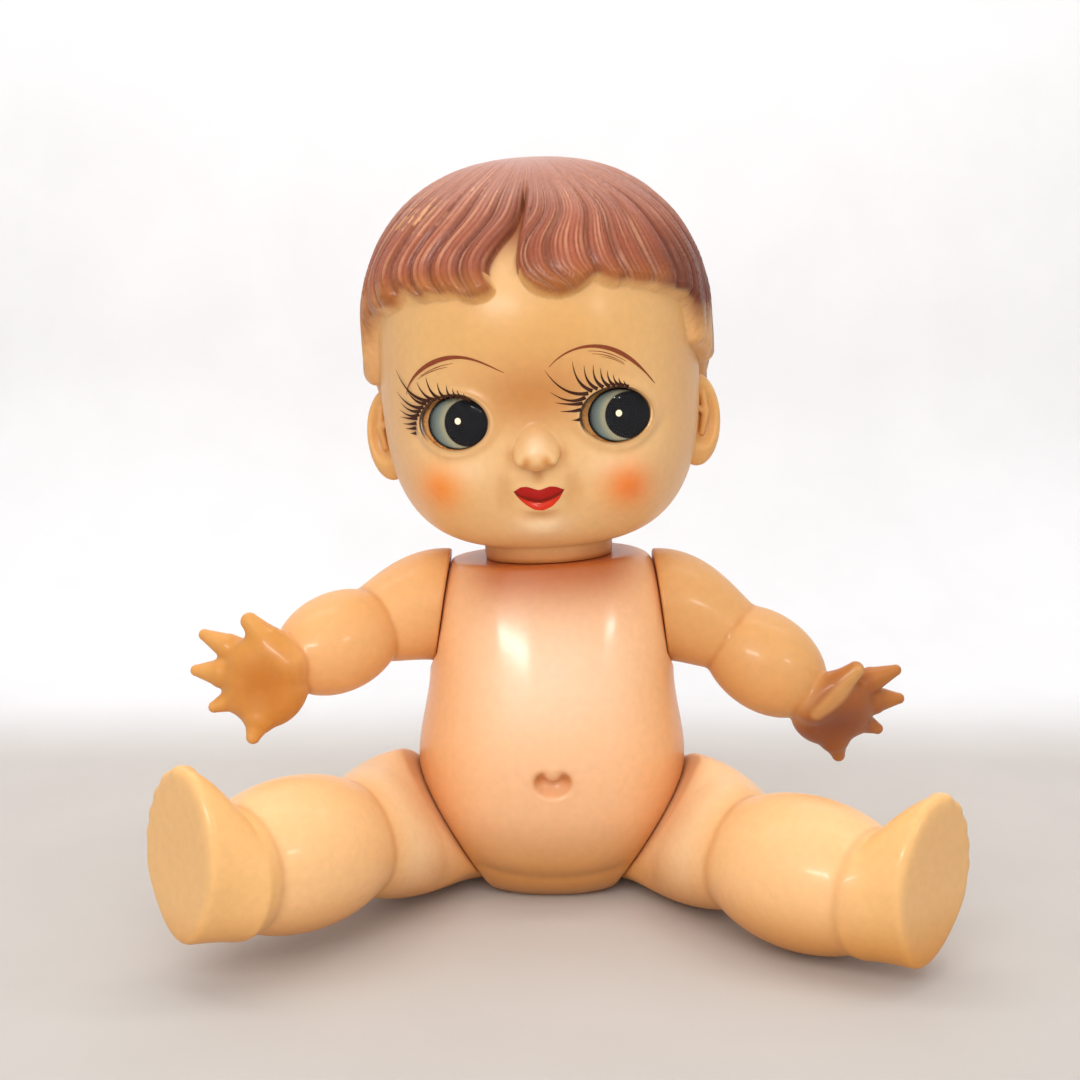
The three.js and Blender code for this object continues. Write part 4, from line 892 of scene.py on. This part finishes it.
# Lashes: base on the rim, then tip, for the viewer's left eye and then the right one
LASHES = [
    (-30.5, 88.1, -33.7, 91.6), (-33.0, 88.9, -36.8, 93.3), (-36.2, 89.4, -39.0, 94.0),
    (-39.2, 89.6, -42.0, 95.6), (-42.4, 89.6, -46.6, 97.0), (-45.5, 89.4, -52.3, 99.8),
    (-48.1, 88.9, -57.4, 97.4), (-50.8, 88.2, -68.6, 103.9), (-52.9, 87.0, -63.3, 94.0),
    (-54.5, 85.3, -68.9, 92.9), (-56.1, 83.6, -67.3, 87.5), (-57.2, 81.8, -68.2, 84.1),
    (-58.4, 79.9, -68.0, 80.4), (-59.1, 77.5, -66.9, 77.0), (-59.5, 75.1, -65.7, 74.6),
    (-59.6, 72.5, -63.2, 72.3),
    (45.6, 90.5, 43.3, 93.6), (43.4, 91.0, 41.0, 95.2), (41.8, 91.2, 38.4, 96.8),
    (39.2, 91.3, 35.8, 98.8), (36.6, 91.2, 32.6, 100.2), (33.5, 91.0, 29.2, 102.0),
    (30.7, 90.4, 24.8, 102.0), (28.2, 89.6, 19.4, 104.2), (26.2, 88.6, 6.1, 100.6),
    (24.7, 86.8, 8.1, 90.2), (23.3, 84.0, 10.2, 85.0), (22.3, 81.1, 12.4, 80.7),
    (21.8, 76.4, 17.9, 76.2),
]
LASH_CURL = 0.16
lashes = []
for base, tip in np.array(LASHES).reshape(-1, 2, 2):
    run = tip - base
    bend = np.array([run[1], -run[0]]) * LASH_CURL
    if run[1] < 2:
        bend *= 0.3
    middle = base + 0.45 * run - bend
    lashes.append(stroke([base, middle, tip], [0.95, 0.75, 0.45, 0.24, 0.06], lift=0.2))
add_paint("lashes", lashes, face_paint, LASH)

# Scale of the opening, lift off the face, push into the socket and share of dark line
LID_ROWS = [
    (1.15, 0.03, 0, 0), (1.1, 0.08, 0, 0), (1.085, 0.12, 0, 0), (1.07, 0.12, 0, 0.9), (1.02, 0.1, 0, 0.95),
    (1.0, -0.15, 0, 0.95), (0.995, -0.3, 0.8, 0.8), (0.995, -0.3, 2.4, 0.7), (0.995, -0.3, 8.0, 0.7),
]


def lid(side):
    """The smooth edge of an eye opening, from the face round and into the socket."""
    angle = np.linspace(0, 2 * math.pi, 160, endpoint=False)
    over = np.degrees(angle)
    lined = ramp(over, 40, 75) * ramp(-over, -225, -190)
    rows, tints = [], []
    for scale, lift, into, liner in LID_ROWS:
        x = side * EYE_X + EYE_WIDE * scale * np.cos(angle)
        z = EYE_Z + EYE_HIGH * scale * np.sin(angle)
        row = on_face(x, z, lift)
        row[:, 1] += into
        rows.append(row)
        # Painted shade, deeper further into the socket
        tint = mix(SKIN, PAINTED_SHADE, min(1.0, 0.25 + 0.4 * into))
        tints.append(mix(tint, LINER, liner * (0.25 + 0.75 * lined)))
    return np.concatenate(rows), grid_faces(len(rows), len(angle), wrap=True), np.concatenate(tints)


for side in (-1, 1):
    p, f, tint = lid(side)
    piece = add_mesh(SIDES[side] + "_lid", head_world(p), f, vinyl_head, tint)
    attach(piece, "head")

# Lips

LIP_UPPER = srgb(172, 18, 6)
LIP_LOWER = srgb(218, 50, 22)
LIP_CREASE_SHADE = srgb(110, 16, 10)
LIP_ROWS, LIP_COLUMNS = 25, 61
LIP_TOP = [
    (-12.3, 42.7), (-8.7, 44.9), (-5.5, 45.0), (-2.5, 43.9), (0, 43.0),
    (2.5, 43.7), (5.5, 44.7), (8.6, 44.3), (12.2, 42.7),
]
LIP_LOW = [
    (-12.3, 42.5), (-10.2, 39.4), (-7.1, 36.1), (-2.8, 33.4),
    (1.4, 32.8), (6.2, 34.6), (9.8, 38.2), (12.2, 42.5),
]


def lip_edge(x, points):
    """A lip's outline at each x, with its corners smoothed."""
    line = np.interp(x, *np.transpose(points))
    line[2:-2] = np.convolve(line, np.ones(5) / 5, "valid")
    return line


def lip_shade(p, tint):
    over = p[:, 2] - mouth_line(p[:, 0])
    tint = mix(tint, LIP_LOWER, ramp(-over, -0.6, 1.2))
    # Painted shade in the crease between the lips
    return mix(tint, LIP_CREASE_SHADE, 0.8 * bell(over - 0.2, 1.0))


lip_x = np.linspace(LIP_TOP[0][0], LIP_TOP[-1][0], LIP_COLUMNS)
top_line, low_line = lip_edge(lip_x, LIP_TOP), lip_edge(lip_x, LIP_LOW)
share = np.linspace(0, 1, LIP_ROWS)
lip_z = low_line[None] + (top_line - low_line)[None] * share[:, None]
lip_points = on_face(np.tile(lip_x, LIP_ROWS), lip_z.ravel(), 0.12)
add_paint("lips", [(lip_points, grid_faces(LIP_ROWS, LIP_COLUMNS))], lip_paint, LIP_UPPER, lip_shade)

# Torso

# Half width, half depth and height of each section, from the seat to the neck
SECTIONS = [
    (40, 36, 0),
    (55.5, 47, 10.36),
    (67.45, 55.68, 37),
    (71, 58, 74),
    (65.32, 52, 111.75),
    (64.5, 46, 149.5),
    (59.34, 42.78, 165.7),
    (51.25, 42, 176.5),
    (38, 38, 180.5),
]
SQUARENESS = 2.3
CHEST_START, CHEST_DEPTH = 100, 62
NAVEL = np.array([0, -66.4, 69.0])
NAVEL_RADII = np.array([9.4, 7.6, 7.4])
BUTTON = np.array([0, -60.6, 75.0])
BUTTON_RADII = np.array([5.4, 5.8, 5.6])
SHOULDER_HOLE = 33.0
TORSO_TONE = srgb(250, 194, 144)
TORSO_SIDE_SHADE = srgb(242, 180, 122)
CHEST_LIGHT = srgb(255, 216, 180)
SEAT_SHADE = srgb(196, 132, 62)
HIP_JOIN_SHADE = srgb(206, 138, 78)
CHIN_SHADOW = srgb(184, 94, 36)
NAVEL_SHADE = srgb(214, 142, 84)
NAVEL_CORNER_SHADE = srgb(194, 110, 44)


def catmull(points, steps):
    """A smooth line through points."""
    points = np.asarray(points, float)
    full = np.concatenate([[2 * points[0] - points[1]], points, [2 * points[-1] - points[-2]]])
    t = np.linspace(0, 1, steps, endpoint=False)[:, None]
    out = []
    for i in range(1, len(full) - 2):
        a, b, c, d = full[i - 1:i + 3]
        square, cube = 2 * a - 5 * b + 4 * c - d, 3 * b - a - 3 * c + d
        out.append(0.5 * (2 * b + (c - a) * t + square * t ** 2 + cube * t ** 3))
    out.append(points[-1:])
    return np.concatenate(out)


torso_line = catmull(SECTIONS, 30)
neck_normal = np.array([-math.sin(LEAN), 0, math.cos(LEAN)])


def past_hip(p, side):
    """Distance beyond the plane where a leg meets the torso."""
    outward = np.array([side * math.cos(HIP_TILT), 0, -math.sin(HIP_TILT)])
    return (p - HIP * [side, 1, 1]) @ outward


def torso_field(p):
    x, y, z = p.T
    wide = np.interp(z, torso_line[:, 2], torso_line[:, 0])
    deep = np.interp(z, torso_line[:, 2], torso_line[:, 1])
    above = np.maximum(z - CHEST_START, 0)
    chest = CHEST_DEPTH - 0.266 * above - 0.00075 * above ** 2
    belly = 8 * bell(z - 74, 46) + 2.5 * bell(z - 112, 26)
    forward = np.where(z > CHEST_START, chest - deep, belly)
    reach = (np.abs(x) / wide) ** SQUARENESS + (np.abs(y + forward) / deep) ** SQUARENESS
    f = (reach ** (1 / SQUARENESS) - 1) * np.minimum(wide, deep)
    front = ramp(-y, 10, 40)
    arc = 14.5 + 5.5 * (np.abs(x) / 40) ** 2
    f += front * 0.9 * bell(z - arc, 2.8) * ramp(-np.abs(x), -44, -30)
    f -= front * 1.2 * bell(z - arc - 7, 7) * ramp(-np.abs(x), -50, -20)
    f = smooth_max(f, -ellipsoid_field(p, NAVEL, NAVEL_RADII), 2.4)
    f = smooth_min(f, ellipsoid_field(p, BUTTON, BUTTON_RADII), 2.4)
    f = smooth_max(f, -z, 2.0)
    f = smooth_max(f, (p - NECK) @ neck_normal, 2.5)
    for side in (-1, 1):
        f = smooth_max(f, past_hip(p, side), 2.0)
        normal = np.array([side * math.cos(SHOULDER_TILT), 0, math.sin(SHOULDER_TILT)])
        q = p - SHOULDER * [side, 1, 1]
        out = q @ normal
        radial = np.linalg.norm(q - out[:, None] * normal, axis=1)
        f = smooth_max(f, -smooth_max(-out, radial - SHOULDER_HOLE, 1.0), 1.6)
    return f


def torso_paint(p):
    x, y, z = p.T
    # Painted shade towards the torso's sides
    paint = mix(TORSO_TONE, TORSO_SIDE_SHADE, ramp(np.abs(x), 30, 66))
    # Painted light: a paler patch where light falls on the chest
    paint = mix(paint, CHEST_LIGHT, 0.8 * bell(x, 34) * bell(z - 124, 30))
    # Painted shade towards the seat
    paint = mix(paint, SEAT_SHADE, 0.9 * ramp(-z, -58, -14))
    # Painted shade along the joins with the legs
    for side in (-1, 1):
        paint = mix(paint, HIP_JOIN_SHADE, 0.6 * np.exp(-np.maximum(-past_hip(p, side), 0) / 5))
    # Painted shadow of the chin on the upper chest
    below_neck = np.maximum(-((p - NECK) @ neck_normal), 0)
    paint = mix(paint, CHIN_SHADOW, 0.95 * bell(below_neck, 20) * ramp(-np.abs(x), -60, -24))
    # Painted shade in the navel and its upper corners
    dimple = np.hypot(x / 9, (z - 68) / 6.5)
    paint = mix(paint, NAVEL_SHADE, 0.55 * bell(dimple, 0.9) * (y < -40))
    return mix(paint, NAVEL_CORNER_SHADE, 0.75 * patch(x, z, 6.6, 3, 71, 3.4) * (y < -40))


p, f = surface_net(torso_field, (-74, -70, -2), (74, 55, 182), 1.15)
torso = add_mesh("torso_skin", p, f, vinyl_torso, torso_paint(p))
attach(torso, "torso")
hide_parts("torso")

# Arms

ELBOW = np.array([33.0, -16.0, -12.0])
WRIST = np.array([69.0, -47.0, -31.0])
HAND = np.array([82.5, -54.0, -41.0])
UPPER_ARM_RADIUS, ELBOW_RADIUS = 30.5, 17.6
FOREARM_RADII = np.array([26.0, 36.0, 26.0])
PALM_RADII = np.array([22.0, 14.0, 25.0])
# Thumb first: root and tip from the palm's middle, radii at root, middle and tip, and blend with the palm
DIGITS = [
    ((-12, -5, 11), (15.7, 1.0, 31.2), (8.5, 7.4, 4.6), 5.0),
    ((6, 5, 7), (37.6, 6, 18.3), (9.0, 7.0, 3.0), 2.6),
    ((6, 4.5, 0), (39, 1, -0.6), (10.0, 8.0, 3.0), 2.6),
    ((4, 3, -6), (26.5, -5, -18), (8.8, 6.8, 3.0), 2.6),
    ((-1, 1, -9), (2.5, -11, -31), (11.0, 8.0, 3.6), 2.6),
]
WORN_RIDGE = np.array([[-10.0, -16, 14], [14, -5, 32]])
WORN_TONE = srgb(222, 168, 104)
ARM_CREASE_SHADE = srgb(202, 124, 56)
# Tones of each arm, its hand, its palm and its fingers; each palm's tone is painted shade in the cupped palm,
# and the tones of side 1, the arm on the viewer's right, are darker as painted shade
HAND_PAINT = {
    -1: (srgb(240, 180, 116), srgb(216, 146, 60), srgb(192, 108, 26), srgb(224, 160, 84)),
    1: (srgb(226, 168, 104), srgb(160, 82, 24), srgb(128, 56, 16), srgb(190, 120, 54)),
}
UPPER = bezier([(-2.5, 0, 0), (12, 0, 0), 0.55 * 1.25 * ELBOW, 1.25 * ELBOW], 30)
UPPER_RADII = UPPER_ARM_RADIUS + (ELBOW_RADIUS - UPPER_ARM_RADIUS) * np.linspace(0, 1, 30) ** 1.6
FOREARM_AXES = frame_along(WRIST - ELBOW)


def arm_parts(p):
    """Fields of the upper arm, the forearm and the hand, in the shoulder's own frame."""
    upper = chain_field(p, UPPER, UPPER_RADII)
    forearm = ellipsoid_field(p, 0.5 * (WRIST + ELBOW), FOREARM_RADII, FOREARM_AXES)
    hand = ellipsoid_field(p, HAND, PALM_RADII)
    hollow = np.linalg.norm(p - HAND - [4.0, -41.0, -3.0], axis=1) - 30.0
    hand = smooth_max(hand, -hollow, 7.0)
    for root, tip, sizes, blend in DIGITS:
        root, tip = np.array(root, float), np.array(tip, float)
        tip = tip - unit(tip - root) * sizes[2]
        line = HAND + np.array([root, 0.45 * root + 0.55 * tip, tip])
        hand = smooth_min(hand, chain_field(p, line, np.array(sizes)), blend)
    return upper, forearm, hand


def arm_field(p):
    upper, forearm, hand = arm_parts(p)
    f = smooth_min(smooth_min(upper, forearm, 2.0), hand, 2.4)
    return smooth_max(f, SEAT_GAP - p[:, 0], 1.6)


def arm_paint(p, side):
    upper, forearm, hand = arm_parts(p)
    arm_tone, hand_tone, palm_tone, finger_tone = HAND_PAINT[side]
    toward_hand = ramp(forearm - hand, -4, 10)
    from_palm = p - HAND
    # Painted shade in the cupped palm
    cupped = bell(np.linalg.norm(from_palm * [1, 0.8, 1], axis=1), 17) * (from_palm[:, 1] < 4)
    fingers = ramp(np.linalg.norm(from_palm, axis=1), 23, 34) * toward_hand
    # Painted shade in the creases between arm, forearm and hand, and by the join at the shoulder
    crease = np.maximum(bell(upper - forearm, 1.4), bell(forearm - hand, 1.4))
    seam = np.maximum(crease, np.exp(-np.maximum(p[:, 0], 0) / 7))
    paint = mix(arm_tone, hand_tone, 0.85 * toward_hand)
    paint = mix(paint, palm_tone, 0.9 * cupped)
    paint = mix(paint, finger_tone, 0.8 * fingers)
    paint = mix(paint, ARM_CREASE_SHADE, 0.45 * seam)
    if side > 0:
        worn = ramp(-chain_field(p, HAND + WORN_RIDGE, np.array([3.0, 3.0])), -3.5, 0)
        paint = mix(paint, WORN_TONE, 0.7 * worn)
    return paint


arm_points, arm_faces = surface_net(arm_field, (-1, -76, -82), (128, 34, 34), 1.1)
for side in (1, -1):
    word = SIDES[side]
    turned = arm_points * [side, 1, 1]
    if side > 0:
        turned = turned @ rotation("x", LEFT_ARM_DROP).T
    placed = turned @ rotation("y", -side * SHOULDER_TILT).T + SHOULDER * [side, 1, 1]
    paint = arm_paint(arm_points, side)
    arm = add_mesh(word + "_arm_skin", placed, facing(arm_faces, side), vinyl_limb, paint)
    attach(arm, word + "_arm")
    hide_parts(word + "_arm")

# Legs

def leg_direction(splay, rise):
    level = unit([math.sin(splay), -math.cos(splay), rise])
    return rotation("y", -HIP_TILT) @ level


def about(v, axis, angle):
    """A vector turned about an axis."""
    turned = v * math.cos(angle) + np.cross(axis, v) * math.sin(angle)
    return turned + axis * (axis @ v) * (1 - math.cos(angle))


TOE_ANGLES = np.radians([86, 69, 53, 38, 24])
TOE_RADII = np.array([4.2, 5.2, 4.2])
SOLE_AXIS = leg_direction(math.radians(40), 0)
SOLE_AXES = frame_along(SOLE_AXIS)
TOE_REACH, HEEL_REACH, SOLE_HALF, ANKLE_RADIUS = 46.5, 34.5, 26.5, 31.0
KNEE = 83 * leg_direction(math.radians(22), 0.04)
HIP_RADIUS, KNEE_RADIUS = 35.5, 26.35
CALF_RADII = np.array([37.0, 56.0, 37.0])
THIGH_SHARE = np.linspace(0, 1, 40)
THIGH_SWELL = 3.6 * np.sin(math.pi * THIGH_SHARE ** 1.5) ** 2
THIGH_RADII = HIP_RADIUS + (KNEE_RADIUS - HIP_RADIUS) * THIGH_SHARE ** 4 + THIGH_SWELL
CALF_TONE = srgb(250, 196, 136)
THIGH_TONE = srgb(255, 212, 162)
FOOT_TONE = srgb(244, 190, 122)
SOLE_TONE = srgb(232, 182, 122)
LEG_CREASE_SHADE = srgb(204, 126, 58)
LEG_JOIN_SHADE = srgb(206, 132, 70)
LEG_UNDER_SHADE = srgb(210, 132, 30)


class Leg:
    """One leg in its hip's own frame; the castings differ in the shin's splay and the foot's lean."""

    def __init__(self, splay, lean):
        upright = rotation("y", -HIP_TILT) @ np.array([0, 0, 1.0])
        self.shin = leg_direction(math.radians(splay), -0.03)
        self.up = about(upright, SOLE_AXIS, math.radians(lean))
        self.across = np.cross(self.up, SOLE_AXIS)
        self.sole = KNEE + 114 * self.shin + 6 * self.up
        self.axes = frame_along(self.shin)
        outward = leg_direction(math.pi / 2, 0)
        knee_end = KNEE + 12.4 * self.shin
        self.thigh = bezier([-HIP_RADIUS * outward, 14 * outward, 0.55 * knee_end, knee_end], 40)

    def foot(self, p):
        """A flat sole with an egg outline that rounds off towards the ankle, with five toes on its edge."""
        q = p - self.sole
        out, up, across = q @ SOLE_AXIS, q @ self.up, q @ self.across
        depth = np.maximum(-out, 0)
        back = np.clip(depth / 25, 0, 1) ** 1.8
        up = up + 6.0 * back
        across = across + 0.17 * depth
        narrow = 1 - 0.5 * ramp(depth, 24, 50)
        length = (np.where(up > 0, TOE_REACH, HEEL_REACH) * (1 - back) + ANKLE_RADIUS * back) * narrow
        sole_wide = SOLE_HALF * (1 + 0.18 * np.clip(up / length, -1, 1))
        wide = (sole_wide * (1 - back) + ANKLE_RADIUS * back) * narrow
        point = 1.6 + 0.4 * back
        egg = np.sqrt(np.abs(up / length) ** point + (across / wide) ** 2) - 1
        foot = smooth_max(egg * 27, out, 5.0)
        for angle in TOE_ANGLES:
            rise, reach = math.sin(angle) ** 1.25, math.cos(angle)
            middle = self.sole - 6.5 * SOLE_AXIS + 41.3 * rise * self.up
            middle = middle + 22.9 * (1 + 0.18 * rise) * reach * self.across
            toe = ellipsoid_field(p, middle, TOE_RADII, SOLE_AXES)
            foot = smooth_min(foot, smooth_max(toe, out + 0.8, 1.5), 3.0)
        return smooth_max(foot, -out - 50, 6.0)

    def parts(self, p):
        thigh = chain_field(p, self.thigh, THIGH_RADII)
        calf = ellipsoid_field(p, KNEE + 48 * self.shin, CALF_RADII, self.axes)
        return thigh, calf, self.foot(p)

    def field(self, p):
        thigh, calf, foot = self.parts(p)
        f = smooth_min(smooth_min(thigh, calf, 2.6), foot, 6.5)
        return smooth_max(f, SEAT_GAP - p[:, 0], 1.6 + 22 * ramp(-p[:, 1], 30, 58))

    def paint(self, p):
        thigh, calf, foot = self.parts(p)
        paint = mix(CALF_TONE, THIGH_TONE, ramp(calf - thigh, 0, 14))
        paint = mix(paint, FOOT_TONE, ramp(calf - foot, -3, 6))
        paint = mix(paint, SOLE_TONE, 0.8 * ramp((p - self.sole) @ SOLE_AXIS, -1.6, -0.4))
        # Painted shade in the creases at the knee and the ankle
        ankle = 0.6 * bell(calf - foot, 2.0) * (foot < 4)
        paint = mix(paint, LEG_CREASE_SHADE, 0.4 * np.maximum(bell(thigh - calf, 1.6), ankle))
        # Painted shade along the join with the torso
        return mix(paint, LEG_JOIN_SHADE, 0.4 * np.exp(-np.maximum(p[:, 0], 0) / 2.5))


for side, leg in ((1, Leg(50, -11)), (-1, Leg(42, -1))):
    word = SIDES[side]
    points, faces = surface_net(leg.field, (-1.5, -178.0, -80.0), (150.0, 45.0, 140.0), 1.3)
    turned = points * [side, 1, 1]
    if side < 0:
        turned = turned @ rotation("x", -RIGHT_LEG_LIFT).T
    placed = turned @ rotation("y", side * HIP_TILT).T + HIP * [side, 1, 1]
    # Painted shade on the legs' undersides
    paint = mix(leg.paint(points), LEG_UNDER_SHADE, 0.75 * ramp(-placed[:, 2], -44, -8))
    piece = add_mesh(word + "_leg_skin", placed, facing(faces, side), vinyl_limb, paint)
    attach(piece, word + "_leg")
    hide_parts(word + "_leg")

# Studio: a sheet that runs along the floor and bends up into a wall

FLOOR_TONE = srgb(200, 194, 188)
WALL_TONE = srgb(238, 237, 238)
SHEET_HALF = 2500
BEND_START, BEND_RADIUS, WALL_TOP = 420, 260, 1800

curve = [(-1500, 0)] + [(y, 0) for y in range(100, BEND_START + 1, 40)]
for angle in np.radians(np.linspace(0, 90, 16))[1:]:
    curve.append((BEND_START + BEND_RADIUS * math.sin(angle), BEND_RADIUS * (1 - math.cos(angle))))
curve.append((BEND_START + BEND_RADIUS, WALL_TOP))
curve = np.array(curve, float)
left = np.stack([np.full(len(curve), -SHEET_HALF), curve[:, 0], curve[:, 1]], 1)
sheet_points = np.stack([left, left * [-1, 1, 1]], 1).reshape(-1, 3)
sheet_paint = mix(FLOOR_TONE, WALL_TONE, np.repeat(ramp(curve[:, 0], 200, 430), 2))
paper = painted("pale paper", 0.85, mottling=0.02, grain=12)
sheet = add_mesh("backdrop", sheet_points, grid_faces(len(curve), 2)[:, ::-1], paper, sheet_paint)

world = bpy.data.worlds.new("studio")
bpy.context.scene.world = world
world.use_nodes = True
set_inputs(world.node_tree.nodes["Background"], {"Color": (1.0, 1.0, 1.0, 1.0), "Strength": 0.5})


def area_light(name, place, target, size, power):
    data = bpy.data.lights.new(name, "AREA")
    data.shape = "RECTANGLE"
    data.size, data.size_y = size
    data.energy = power
    lamp = bpy.data.objects.new(name, data)
    bpy.context.scene.collection.objects.link(lamp)
    lamp.location = place
    lamp.rotation_euler = (Vector(target) - Vector(place)).to_track_quat("-Z", "Y").to_euler()
    return lamp


# Broad lights that light the form without showing in its gloss, and one for the wall
area_light("soft", (-0.15, -1.25, 0.85), (0, 0, 0.2), (1.3, 0.9), 12).visible_glossy = False
area_light("top", (0.0, -0.2, 1.4), (0, 0, 0.2), (1.4, 1.0), 3.6).visible_glossy = False
area_light("wall", (0.0, 0.1, 1.3), (0, 0.7, 0.6), (2.0, 0.3), 7)
# Two small panes seen only as highlights on the glossy vinyl
area_light("pane", (-0.42, -1.08, 0.6), (0, 0, 0.14), (0.42, 0.045), 5.5).visible_diffuse = False
area_light("lamp", (0.71, -0.98, 0.62), (0, 0, 0.14), (0.16, 0.03), 1.7).visible_diffuse = False

camera_data = bpy.data.cameras.new("camera")
camera_data.sensor_width = 36
camera_data.lens = 52.97
camera = bpy.data.objects.new("camera", camera_data)
bpy.context.scene.collection.objects.link(camera)
camera.location = (-0.0064, -0.842, 0.300)
camera.rotation_euler = (math.radians(90 - 7.82), 0, 0)
bpy.context.scene.camera = camera
bpy.context.scene.view_settings.view_transform = "Standard"
